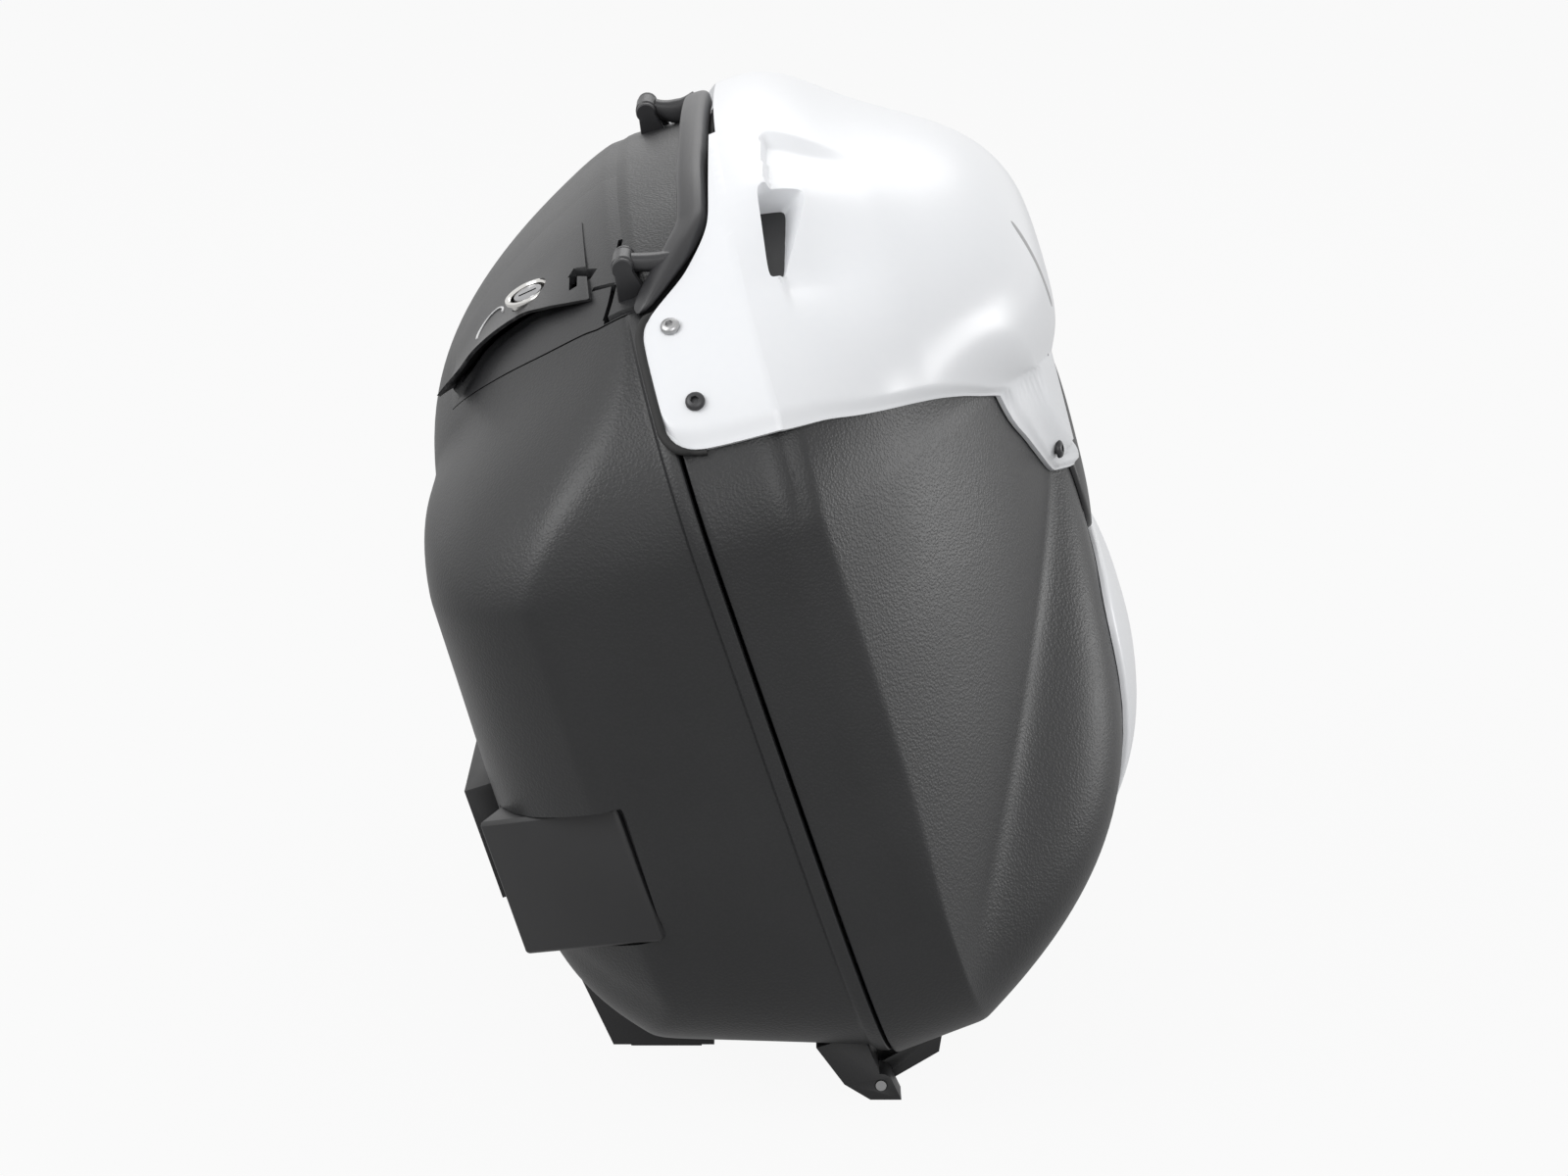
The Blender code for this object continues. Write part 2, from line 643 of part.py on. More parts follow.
lever_pivot = patch(tray_surface, LEVER_T, LEVER_Q, PATCH_STEPS, LEVER_PROUD)[0][PATCH_STEPS[1] // 2]
release_lever = place("release_lever", slab(
    "release_lever",
    patch(tray_surface, LEVER_T, LEVER_Q, PATCH_STEPS, lever_rise),
    patch(tray_surface, LEVER_T, LEVER_Q, PATCH_STEPS, lever_under)), "grained_plastic", lever_pivot)

lock_place = np.array(LOCK_T), np.array(LOCK_Q)
lock_seat = Vector(lifted(tray_surface, *lock_place, lever_rise(*lock_place)))
lock_axis = Vector(LOCK_NORMAL).normalized()
lock_turn = Matrix.Translation(lock_seat) @ lock_axis.to_track_quat("Z", "Y").to_matrix().to_4x4()


def lock_point(height):
    return lock_seat + lock_axis * height


def lock_parts():
    bezel_base = GAP * 2
    bezel_top = bezel_base + LOCK_BEZEL_HEIGHT
    boss = place("lock_boss", rod_mesh(
        "lock_boss", lock_point(-LOCK_BOSS_DEPTH), lock_point(0.0), LOCK_BOSS_RADIUS))
    facet = place("lock_facet", rod_mesh(
        "lock_facet", lock_point(0.0), lock_point(LOCK_LENGTH), LOCK_BOSS_RADIUS + GAP))
    hole = place("lock_hole", rod_mesh(
        "lock_hole", lock_point(-LOCK_LENGTH), lock_point(LOCK_LENGTH), LOCK_BARREL_RADIUS + GAP))
    combine(release_lever, boss, "UNION")
    cut(release_lever, facet, hole)

    barrel = place("lock_barrel", rod_mesh(
        "lock_barrel", lock_point(-LOCK_LENGTH), lock_point(bezel_top), LOCK_BARREL_RADIUS), "chrome")
    bezel = place("lock_bezel", rod_mesh(
        "lock_bezel", lock_point(bezel_base), lock_point(bezel_top), LOCK_BEZEL_RADIUS))
    bore = place("lock_bore", rod_mesh(
        "lock_bore", lock_point(-2 * LOCK_LENGTH), lock_point(LOCK_LENGTH), LOCK_PLUG_RADIUS + GAP))
    combine(barrel, bezel, "UNION")
    cut(barrel, bore)

    plug = place("lock_plug", rod_mesh(
        "lock_plug", lock_point(-LOCK_LENGTH), lock_point(bezel_top), LOCK_PLUG_RADIUS), "steel", lock_seat)
    keyway = place("keyway", box_mesh(
        "keyway", (-KEYWAY_LENGTH / 2, -KEYWAY_WIDTH / 2, bezel_top - KEYWAY_DEPTH),
        (KEYWAY_LENGTH / 2, KEYWAY_WIDTH / 2, LOCK_LENGTH), lock_turn))
    cut(plug, keyway)

    cam_top = -LOCK_LENGTH - GAP
    place("lock_cam", box_mesh(
        "lock_cam", (-CAM_WIDTH / 2, -CAM_WIDTH / 2, cam_top - CAM_THICKNESS),
        (CAM_LENGTH, CAM_WIDTH / 2, cam_top), lock_turn), "steel", lock_seat)


lock_parts()


def bolt_parts():
    """Bolt under the lever's lid-side end, in a guide that hangs from the lever."""
    seat = patch(tray_surface, LEVER_T, LEVER_Q, PATCH_STEPS, 0.0)
    end_x = seat[:, 0, 0].min()
    length, width, height = BOLT_SIZE
    spot = np.array(BOLT_T), np.array(LEVER_Q[0])
    under = lifted(tray_surface, *spot, lever_under(*spot))
    lean = outward(tray_surface, *spot)
    turn = Matrix.Translation((end_x, under[1], under[2])) @ Matrix.Rotation(
        math.atan2(-lean[1], lean[2]), 4, "X")
    wall = BOLT_GUIDE_WALL
    inner_end = patch(tray_surface, LEVER_T, LEVER_Q, BOLT_SEARCH_STEPS, lever_under)
    near_bolt = [turn.inverted() @ Vector(point) for point in inner_end.reshape(-1, 3)]
    top = min(point.z for point in near_bolt if point.x > -length - wall and abs(point.y) < width) - wall
    bolt_low = (-length, -width / 2, top - height)
    bolt_high = (-GAP, width / 2, top)
    place("lock_bolt", box_mesh("lock_bolt", bolt_low, bolt_high, turn), "steel", turn @ Vector(bolt_high))
    guide = place("bolt_guide", box_mesh(
        "bolt_guide", (-length, -width / 2 - wall, top - height - wall),
        (-wall, width / 2 + wall, WALL), turn), "black_plastic")
    slot = place("bolt_slot", box_mesh(
        "bolt_slot", (-2 * length, -width / 2 - GAP, top - height - GAP),
        (length, width / 2 + GAP, top + GAP), turn))
    ceiling = place("lever_underside", slab(
        "lever_underside",
        patch(tray_surface, LEVER_T, LEVER_Q, PATCH_STEPS, 2 * CUT_DEPTH, 2 * WALL),
        patch(tray_surface, LEVER_T, LEVER_Q, PATCH_STEPS, lambda angle, q: lever_under(angle, q) - GAP,
              2 * WALL)))
    cut(guide, slot, ceiling)


bolt_parts()


# Lid catch and keeper

def catch_parts():
    length, width, height = CATCH_SIZE
    ceiling = tray_top(CATCH_Y) - WALL
    middle = ceiling - CATCH_DROP
    nose = -CATCH_SETBACK
    wall = CATCH_GUIDE_WALL
    place("lid_catch", box_mesh(
        "lid_catch", (nose - length, CATCH_Y - width / 2, middle - height / 2),
        (nose, CATCH_Y + width / 2, middle + height / 2)), "dark_steel",
        (nose, CATCH_Y, middle))
    guide = place("catch_guide", box_mesh(
        "catch_guide", (nose - length, CATCH_Y - width / 2 - wall, middle - height / 2 - wall),
        (nose - FLANGE_WIDTH, CATCH_Y + width / 2 + wall, ceiling + 2 * WALL)), "black_plastic")
    slot = place("catch_slot", box_mesh(
        "catch_slot", (nose - 2 * length, CATCH_Y - width / 2 - GAP, middle - height / 2 - GAP),
        (KEEPER_SETBACK + CATCH_TRAVEL, CATCH_Y + width / 2 + GAP, middle + height / 2 + GAP)))
    room = place("keeper_slot", box_mesh(
        "keeper_slot",
        (-KEEPER_SETBACK, CATCH_Y - width / 2 - RUNNING_GAP, middle - height / 2 - RUNNING_GAP),
        (CATCH_TRAVEL - CATCH_SETBACK + KEEPER_SETBACK, CATCH_Y + width / 2 + RUNNING_GAP,
         middle + height / 2 + RUNNING_GAP)))
    combine(guide, tray_core, "INTERSECT")
    cut(guide, slot)
    keeper = place("lid_keeper", box_mesh(
        "lid_keeper", (KEEPER_SETBACK, CATCH_Y - width / 2 - wall, middle - height / 2 - wall),
        (KEEPER_SETBACK + KEEPER_LENGTH, CATCH_Y + width / 2 + wall, ceiling + 2 * WALL)), "dark_steel")
    combine(keeper, lid_core, "INTERSECT")
    cut(keeper, room)


catch_parts()


# Lid hinges

hinge_pin_z = ground(HINGE_PIN_X) + HINGE_PIN_LIFT


def barrel_arc(start, end, steps=6):
    """Points round the hinge barrel between two angles, in degrees."""
    turns = np.radians(np.linspace(start, end, steps + 1))
    return [(HINGE_PIN_X + HINGE_BARREL_RADIUS * math.cos(turn),
             hinge_pin_z + HINGE_BARREL_RADIUS * math.sin(turn)) for turn in turns]


def hinge(side, centre):
    start, end = centre - HINGE_LENGTH / 2, centre + HINGE_LENGTH / 2
    third = HINGE_LENGTH / 3
    inner_edge = HINGE_PIN_X - HINGE_BRACKET_REACH
    foot_low, foot_high = HINGE_PIN_X - HINGE_FOOT_HALF_WIDTH, HINGE_PIN_X + HINGE_FOOT_HALF_WIDTH
    bracket_outline = [
        (inner_edge - HINGE_FOOT_HALF_WIDTH, TRAY_BOTTOM + HINGE_BRACKET_REACH),
        (inner_edge, hinge_pin_z + HINGE_BARREL_RADIUS),
        (foot_low, ground(foot_low)), (foot_high, ground(foot_high)),
        *barrel_arc(0.0, 80.0),
        (HINGE_PIN_X, TRAY_BOTTOM + HINGE_BRACKET_REACH)]
    bracket = place(f"hinge_bracket_{side}", prism_mesh("hinge_bracket", bracket_outline, start, end),
                    "black_plastic", smooth=False)
    pin_hole = place(f"pin_hole_{side}", rod_mesh(
        "pin_hole", (HINGE_PIN_X, start - third, hinge_pin_z), (HINGE_PIN_X, end + third, hinge_pin_z),
        HINGE_PIN_RADIUS + GAP))
    knuckle = place(f"knuckle_room_{side}", rod_mesh(
        "knuckle_room", (HINGE_PIN_X, centre - third / 2 - RUNNING_GAP, hinge_pin_z),
        (HINGE_PIN_X, centre + third / 2 + RUNNING_GAP, hinge_pin_z), HINGE_BARREL_RADIUS + RUNNING_GAP))
    foot_gap = place(f"foot_gap_{side}", box_mesh(
        "foot_gap", (HINGE_PIN_X - HINGE_BARREL_RADIUS, centre - third / 2 - RUNNING_GAP,
                     hinge_pin_z - 2 * HINGE_BARREL_RADIUS),
        (HINGE_PIN_X + HINGE_BRACKET_REACH, centre + third / 2 + RUNNING_GAP, hinge_pin_z)))
    cut(bracket, tray_fill, pin_hole, knuckle, foot_gap)

    leaf_edge = HINGE_PIN_X + HINGE_LEAF_REACH
    leaf_outline = [
        (leaf_edge, LID_BOTTOM + HINGE_LEAF_THICKNESS),
        *barrel_arc(60.0, 280.0, 10),
        (leaf_edge - HINGE_LEAF_THICKNESS, LID_BOTTOM - HINGE_LEAF_THICKNESS)]
    leaf = place(f"hinge_leaf_{side}", prism_mesh(
        "hinge_leaf", leaf_outline, centre - third / 2, centre + third / 2), "black_plastic",
        (HINGE_PIN_X, centre, hinge_pin_z), smooth=False)
    cut(leaf, lid_fill, pin_hole)
    place(f"hinge_pin_{side}", rod_mesh(
        "hinge_pin", (HINGE_PIN_X, start - GAP, hinge_pin_z), (HINGE_PIN_X, end + GAP, hinge_pin_z),
        HINGE_PIN_RADIUS), "steel")


for hinge_side, hinge_centre in (("near", -HINGE_SPAN), ("far", HINGE_SPAN)):
    hinge(hinge_side, hinge_centre)


# Bike-side foot

def foot():
    low, high = RUNNER_X - RUNNER_WIDTH / 2, RUNNER_X + RUNNER_WIDTH / 2
    lift = (PAD_THICKNESS + GAP) / math.cos(LEAN)
    outline = [(low - RUNNER_FLARE, RUNNER_TOP), (low, ground(low) + lift), (high, ground(high) + lift),
               (high + RUNNER_FLARE, RUNNER_TOP)]
    runner = place("foot_runner", prism_mesh("foot_runner", outline, RUNNER_START, RUNNER_END),
                   "black_plastic", smooth=False)
    cut(runner, tray_fill)
    pad_low, pad_high = low + PAD_INSET, high - PAD_INSET
    rise = PAD_THICKNESS / math.cos(LEAN)
    pad_outline = [(pad_low, ground(pad_low)), (pad_high, ground(pad_high)),
                   (pad_high, ground(pad_high) + rise), (pad_low, ground(pad_low) + rise)]
    for side, begin in (("near", RUNNER_START + PAD_INSET), ("far", RUNNER_END - PAD_INSET - PAD_LENGTH)):
        place(f"foot_pad_{side}", prism_mesh("foot_pad", pad_outline, begin, begin + PAD_LENGTH),
              "rubber", smooth=False)


foot()


# Carrier parts on the motorcycle side

def carrier():
    half_length, half_height = BLOCK_LENGTH / 2, BLOCK_HEIGHT / 2
    for side, sign in (("near", 1.0), ("far", -1.0)):
        face_y = -sign * (HALF_LENGTH - BLOCK_END_INSET)
        turn = Matrix.Translation((BLOCK_X, face_y, BLOCK_Z)) @ Matrix.Rotation(-sign * BLOCK_TURN, 4, "Z")
        depths = sorted((0.0, sign * BLOCK_THICKNESS))
        block = place(f"mount_block_{side}", box_mesh(
            "mount_block", (-half_length, depths[0], -half_height), (half_length, depths[1], half_height),
            turn), "black_plastic", smooth=False)
        soften(block, 0.0015)
        pocket(side, sign, turn)

    back = -TRAY_DEPTH - RAIL_BACK
    low = (back, -RAIL_LENGTH / 2, RAIL_Z - RAIL_HEIGHT / 2)
    high = (-TRAY_DEPTH + RAIL_SEAT_DEPTH, RAIL_LENGTH / 2, RAIL_Z + RAIL_HEIGHT / 2)
    rail = place("carrier_rail", box_mesh("carrier_rail", low, high), "black_plastic", smooth=False)
    cut(rail, tray_fill)
    out = Vector((-1.0, 0.0, 0.0))
    seat_x = back + RAIL_SCREW_SINK
    for number in range(4):
        seat = Vector((seat_x, (number - 1.5) * RAIL_SCREW_PITCH, RAIL_Z))
        cut(rail, place(f"rail_head_room_{number + 1}", rod_mesh(
            "head_room", seat, seat + out * 2 * RAIL_SCREW_SINK, SCREW_HEAD_RADIUS + RUNNING_GAP)))
        screw(f"rail_screw_{number + 1}", seat, out, RAIL_SCREW_LENGTH, rail, "steel")


def pocket(side, sign, turn):
    """Moulded pocket of the tray round a mounting block, open beside the block on its lid side."""
    half_length, half_height = BLOCK_LENGTH / 2 + GAP, BLOCK_HEIGHT / 2 + GAP
    back, front = sign * (BLOCK_THICKNESS + GAP), -sign * BLOCK_LENGTH
    wall = WALL
    low, high = sorted((back + sign * wall, front))
    body = place(f"pocket_body_{side}", box_mesh(
        "pocket_body", (-half_length - wall, low, -half_height - wall),
        (half_length + POCKET_SIDE + wall, high, half_height + wall), turn))
    combine(body, tray_skin, "INTERSECT")
    low, high = sorted((back, front))
    room = place(f"pocket_room_{side}", box_mesh(
        "pocket_room", (-half_length - BLOCK_LENGTH, low, -half_height),
        (half_length + POCKET_SIDE, high, half_height), turn))
    combine(inner_shell, body, "UNION")
    cut(inner_shell, room)


def screw(name, seat, axis, length, held, look):
    """Button-head screw on a seat, its head out along the axis, with its hole in the piece it holds."""
    hole = place(f"{name}_hole", rod_mesh(
        "screw_hole", seat - axis * (length + GAP), seat + axis * length, SCREW_SHANK_RADIUS + GAP, 16))
    cut(held, hole)
    made = place(name, rod_mesh(
        "screw", seat + axis * GAP, seat + axis * (GAP + SCREW_HEAD_HEIGHT), SCREW_HEAD_RADIUS, 16,
        SCREW_HEAD_RADIUS * 0.7), look)
    shank = place(f"{name}_shank", rod_mesh(
        "screw_shank", seat - axis * length, seat + axis * 2 * GAP, SCREW_SHANK_RADIUS, 16))
    combine(made, shank, "UNION")


carrier()


# White cover on the upper lid

def cover_edge_x(angle):
    """Where the cover starts, out from the parting plane: it clears the handle bay along the top."""
    far_end, far_bay, near_bay, near_end = COVER_BAY_T
    bay = ease(far_end, far_bay, angle) * (1.0 - ease(near_bay, near_end, angle))
    return COVER_NEAR_EDGE_X + (COVER_BAY_X - COVER_NEAR_EDGE_X) * bay


COVER_STEPS = (28, 13)


def cover_places(steps):
    """Angle and q over the cover: along it from the far edge to the near edge, and out from the rim."""
    rows = 1.0 - np.linspace(1.0, 0.0, steps[1]) ** 1.4
    share, across = np.meshgrid(np.linspace(0.0, 1.0, steps[0]), rows, indexing="ij")
    angle = math.pi * (1.0 - share)
    for _ in range(12):
        start = LID_BAND_Q * cover_edge_x(angle) / LID_BAND
        q = start + (COVER_OUTER_Q - start) * across
        near = np.interp(q, COVER_SIDE_Q, COVER_SIDE_T)
        angle = (math.pi - near) + (2.0 * near - math.pi) * share
    return angle, q


def cover_height(angle, q):
    """Outer face of the cover above the lid, with its ridge beside the handle bay."""
    x = lid_surface(angle, q)[..., 0]
    far_end, far_bay, near_bay, near_end = COVER_BAY_T
    along = ease(far_end, far_bay, angle) * (1.0 - ease(near_bay, near_end, angle))
    across = np.exp(-((x - COVER_RIDGE_X) / (COVER_RIDGE_X / 2)) ** 2)
    return COVER_STAND + COVER_RIDGE * along * across


def cover():
    angle, q = cover_places(COVER_STEPS)
    made = place("top_cover", slab(
        "top_cover", lifted(lid_surface, angle, q, cover_height(angle, q)),
        lifted(lid_surface, angle, q, np.full(angle.shape, -WALL / 2))), "white_paint")
    window = place("grip_window", box_mesh(
        "grip_window", (WINDOW_X[0], WINDOW_Y[0], NOSE_HEIGHT),
        (WINDOW_X[1], WINDOW_Y[1], NOSE_HEIGHT + 2 * TOP_RISE)))
    soften(window, WINDOW_ROUND)
    cut(made, lid_fill, window)
    number = 1
    for t, place_q in COVER_SCREWS:
        for spot, look in ((t, "steel" if number == 1 else "dark_steel"), (math.pi - t, "dark_steel")):
            spot, out = np.array(spot), np.array(place_q)
            seat = Vector(lifted(lid_surface, spot, out, cover_height(spot, out) + GAP / 2))
            axis = Vector(outward(lid_surface, spot, out))
            screw(f"cover_screw_{number}", seat, axis, COVER_STAND - 2 * GAP, made, look)
            number += 1


cover()


def tube(name, points, radius, look):
    """Round strip along points, made a mesh with closed ends."""
    line = bpy.data.curves.new(name, "CURVE")
    line.dimensions = "3D"
    line.bevel_depth = radius
    line.bevel_resolution = 1
    line.use_fill_caps = True
    spline = line.splines.new("POLY")
    spline.points.add(len(points) - 1)
    for spot, point in zip(spline.points, points):
        spot.co = (*point, 1.0)
    guide = bpy.data.objects.new(f"{name}_line", line)
    bpy.context.scene.collection.objects.link(guide)
    mesh = bpy.data.meshes.new_from_object(guide.evaluated_get(bpy.context.evaluated_depsgraph_get()))
    bpy.data.objects.remove(guide, do_unlink=True)
    shape = bmesh.new()
    shape.from_mesh(mesh)
    bmesh.ops.remove_doubles(shape, verts=shape.verts, dist=1e-5)
    bpy.data.meshes.remove(mesh)
    return place(name, mesh_of(name, shape), look)


def cover_trim():
    """Rubber edge that runs along the cover's bike-side edge."""
    angle = cover_places(COVER_STEPS)[0][:, 0]
    out = cover_edge_x(angle) - TRIM_RADIUS - TRIM_GAP
    points = lifted(lid_surface, angle, LID_BAND_Q * out / LID_BAND, np.full(angle.shape, TRIM_RADIUS + GAP))
    tube("cover_trim", points, TRIM_RADIUS, "rubber")


cover_trim()


# Panels on the outer face

FACE_RINGS = (1.0, 0.92, 0.70, 0.38)


def face_panel(name, centre_z, half_length, half_height, power, edge, crown, look):
    """Crowned panel with rounded corners on the lid's outer face."""
    turn = np.linspace(0.0, 2.0 * math.pi, PANEL_STEPS, endpoint=False)
    along = half_length * signed_power(np.cos(turn), 2.0 / power)
    up = half_height * signed_power(np.sin(turn), 2.0 / power)

    def ring(share, height):
        points = lid_face(share * along, centre_z + share * up)
        points[:, 0] += height
        return points

    def middle(height):
        point = lid_face(np.array([0.0]), np.array([centre_z]))[0]
        return (point[0] + height, 0.0, centre_z)

    outer = [ring(share, edge + crown * (1.0 - share ** 3)) for share in FACE_RINGS]
    inner = [ring(share, -WALL / 2) for share in FACE_RINGS]
    cut(place(name, disc(name, (outer, middle(edge + crown)), (inner, middle(-WALL / 2))), look), lid_fill)


face_panel("outer_panel", PANEL_CENTRE_Z, PANEL_HALF_LENGTH, PANEL_HALF_HEIGHT, PANEL_POWER,
           PANEL_EDGE, PANEL_CROWN, "white_paint")
face_panel("side_strip", STRIP_CENTRE_Z, STRIP_HALF_LENGTH, STRIP_HALF_HEIGHT, STRIP_POWER,
           STRIP_EDGE, STRIP_CROWN, "black_plastic")


# Carrying handle

handle_near, handle_far = (
    Vector((x, y, tray_top(y) + HANDLE_AXIS_LIFT))
    for x, y in zip(HANDLE_AXIS_X, (HANDLE_NEAR_Y, HANDLE_FAR_Y)))
handle_axis = (handle_far - handle_near).normalized()
HANDLE_STATIONS = 21
HANDLE_SIDES = 10


def handle_line(share):
    """Middle of the handle: out from the near eye, along the bar over the lid and back to the far eye."""
    axis_x, y, axis_z = (np.array(handle_near) + np.outer(share, handle_far - handle_near)).T
    out = (1.0 - np.abs(2.0 * share - 1.0) ** HANDLE_POWER) ** 0.5
    bar_z = NOSE_HEIGHT + TOP_RISE * np.sqrt(1.0 - (y / HALF_LENGTH) ** 2) + HANDLE_RISE
    return np.stack([axis_x + (HANDLE_BAR_X - axis_x) * out, y, axis_z + (bar_z - axis_z) * out], -1), out


def carry_handle():
    share = 0.5 - 0.5 * np.cos(np.linspace(0.0, math.pi, HANDLE_STATIONS))
    line, out = handle_line(share)
    turn = np.linspace(0.0, 2.0 * math.pi, HANDLE_SIDES, endpoint=False)
    wide = HANDLE_WIDTH / 2 * signed_power(np.cos(turn), 0.7)
    high = HANDLE_THICKNESS / 2 * signed_power(np.sin(turn), 0.7)
    rings = []
    for i, point in enumerate(line):
        ahead = line[min(i + 1, len(line) - 1)] - line[max(i - 1, 0)]
        ahead /= np.linalg.norm(ahead)
        side = np.cross(ahead, (0.0, 0.0, 1.0))
        side /= np.linalg.norm(side)
        up = np.cross(side, ahead)
        size = HANDLE_ARM_SHARE + (1.0 - HANDLE_ARM_SHARE) * out[i]
        rings.append(point + size * (wide[:, None] * side + high[:, None] * up))
    shape = bmesh.new()
    rows = [[shape.verts.new(point) for point in ring] for ring in rings]
    for first, second in zip(rows, rows[1:]):
        skin(shape, first, second)
    shape.faces.new(rows[0])
    shape.faces.new(rows[-1])
    made = place("carry_handle", mesh_of("carry_handle", shape), "black_plastic", handle_near)
    for side, centre in (("near", handle_near), ("far", handle_far)):
        half = handle_axis * (HANDLE_EYE_WIDTH / 2)
        eye = place(f"handle_eye_{side}", rod_mesh(
            "handle_eye", centre - half, centre + half, HANDLE_EYE_RADIUS))
        bore = place(f"handle_bore_{side}", rod_mesh(
            "handle_bore", centre - 3 * half, centre + 3 * half, HANDLE_PIN_RADIUS + GAP))
        combine(made, eye, "UNION")
        cut(made, bore)
        socket(side, centre, bore)


def socket(side, centre, bore):
    """Boss on the tray with a cheek at each side of the handle's eye, and the pin through them."""
    reach = HANDLE_EYE_WIDTH / 2 + SOCKET_SIDE_GAP
    turn = Matrix.Translation(centre) @ handle_axis.to_track_quat("Y", "Z").to_matrix().to_4x4()
    half, end = SOCKET_HALF_WIDTH, reach + SOCKET_CHEEK
    floor, bottom = -HANDLE_EYE_RADIUS - RUNNING_GAP, -2 * HANDLE_AXIS_LIFT - WALL
    boss = place(f"handle_socket_{side}", box_mesh(
        "handle_socket", (-half, -end, bottom), (SOCKET_LID_SIDE, end, SOCKET_TOP), turn), "black_plastic")
    foot_edge = -half - SOCKET_FOOT - max(centre.x, 0.0)
    base = place(f"socket_foot_{side}", box_mesh(
        "socket_foot", (foot_edge, GAP - end, bottom - GAP),
        (SOCKET_LID_SIDE - GAP, end - GAP, floor - GAP), turn))
    room = place(f"eye_room_{side}", box_mesh(
        "eye_room", (-2 * half, -reach, floor), (2 * half, reach, 2 * half), turn))
    combine(boss, base, "UNION")
    cut(boss, tray_fill, parting_fill, lid_fill, room, bore)
    pin_half = handle_axis * (reach + SOCKET_CHEEK)
    place(f"handle_pin_{side}", rod_mesh(
        "handle_pin", centre - pin_half, centre + pin_half, HANDLE_PIN_RADIUS), "steel")


carry_handle()


def stand_on_ground():
    """Lift the case so that its feet meet the ground, with the whole part centred over the origin."""
    case.location = (0.0, 0.0, ORIGIN_HEIGHT)
    bpy.context.view_layer.update()
    graph = bpy.context.evaluated_depsgraph_get()
    low, high = Vector((1e9, 1e9)), Vector((-1e9, -1e9))
    for made in parts.objects:
        if made.type != "MESH":
            continue
        solid = made.evaluated_get(graph)
        for corner in solid.data.vertices:
            spot = solid.matrix_world @ corner.co
            for axis in range(2):
                low[axis] = min(low[axis], spot[axis])
                high[axis] = max(high[axis], spot[axis])
    case.location.x = -(low[0] + high[0]) / 2
    case.location.y = -(low[1] + high[1]) / 2


stand_on_ground()
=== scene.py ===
"""Hard side case for a motorcycle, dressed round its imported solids.

Shapes are worked out in the case's own axes: x runs from the motorcycle to the lid with the parting
plane at 0, y from the near end to the far end, and u up along the parting plane. They are then
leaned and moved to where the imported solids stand.
"""
import logging
import math
from dataclasses import dataclass, field
from enum import Enum
from typing import Callable, Optional, Sequence, Union

import bmesh
import bpy
import numpy as np
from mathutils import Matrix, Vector


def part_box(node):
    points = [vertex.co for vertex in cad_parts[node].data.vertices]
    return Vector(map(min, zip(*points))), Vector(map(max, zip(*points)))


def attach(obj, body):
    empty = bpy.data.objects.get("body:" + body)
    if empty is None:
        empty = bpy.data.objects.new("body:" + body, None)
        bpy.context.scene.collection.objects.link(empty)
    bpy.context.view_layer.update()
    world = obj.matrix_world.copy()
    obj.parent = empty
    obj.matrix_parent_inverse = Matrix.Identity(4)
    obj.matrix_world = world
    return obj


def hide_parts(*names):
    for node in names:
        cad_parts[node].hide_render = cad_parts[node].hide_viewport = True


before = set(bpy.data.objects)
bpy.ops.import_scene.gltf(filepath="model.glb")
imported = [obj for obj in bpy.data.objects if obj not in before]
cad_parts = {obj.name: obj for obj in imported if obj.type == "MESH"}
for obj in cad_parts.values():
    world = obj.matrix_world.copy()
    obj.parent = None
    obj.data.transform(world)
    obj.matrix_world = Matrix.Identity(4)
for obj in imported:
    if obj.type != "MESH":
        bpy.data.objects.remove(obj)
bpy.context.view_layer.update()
LOG = logging.getLogger("side_case")
WELD_NEW, WELD_CAD, WELD_CUT = 1e-6, 2e-6, 3e-6
Array = np.ndarray
Object = bpy.types.Object
Pair = tuple[float, float]
Triple = tuple[float, float, float]
Four = tuple[float, float, float, float]
Row = tuple[float, ...]
Surface = Callable[[Array, Array], Array]
Lift = Callable[[Array, Array], Array]


class Body(Enum):
    """Bodies that the dressed pieces ride on."""

    CASE = "case"
    LID = "lid"
    HANDLE = "handle"
    LEVER = "lever"
    PLUG = "plug"


class Slot(Enum):
    """Material slots of the record."""

    GRAIN = "grained_plastic"
    BLACK = "black_plastic"
    RUBBER = "rubber"
    WHITE = "white_paint"
    STEEL = "steel"
    DARK = "dark_steel"
    CHROME = "chrome"


class Relief(Enum):
    """Fine relief of a finish."""

    LEATHER = "leather grain of a moulded shell"
    SATIN = "fine spark-eroded satin"
    PEEL = "slight orange peel of spray paint"
    LATHE = "turning marks"


def ease(low: float, high: float, value: Array) -> Array:
    """Smooth step from 0 at low to 1 at high."""
    share = np.clip((value - low) / (high - low), 0.0, 1.0)
    return share * share * (3.0 - 2.0 * share)


def between(low: Array, high: Array, share: Array) -> Array:
    """Straight way from low to high."""
    return low + (high - low) * share


def signed_power(value: Array, power: Union[float, Array]) -> Array:
    """Power of the size of a value, with its sign kept."""
    return np.sign(value) * np.abs(value) ** power


def plateau(value: Array, *ends: float) -> Array:
    """Smooth rise from 0 to 1 between the first two ends, and back between the last two."""
    return ease(*ends[:2], value) * (1.0 - ease(*ends[2:], value))


def matched(first: Array, second: Array) -> list[Array]:
    """Two arrays of numbers brought to one shape."""
    return np.broadcast_arrays(np.asarray(first, float), np.asarray(second, float))


def unit(vectors: Array) -> Array:
    """Vectors scaled to a length of one."""
    return vectors / np.maximum(np.linalg.norm(vectors, axis=-1, keepdims=True), 1e-12)


def placed(points: Array, place: Array) -> Array:
    """Points turned and moved by a 4 by 4 array."""
    return points @ place[:3, :3].T + place[:3, 3]


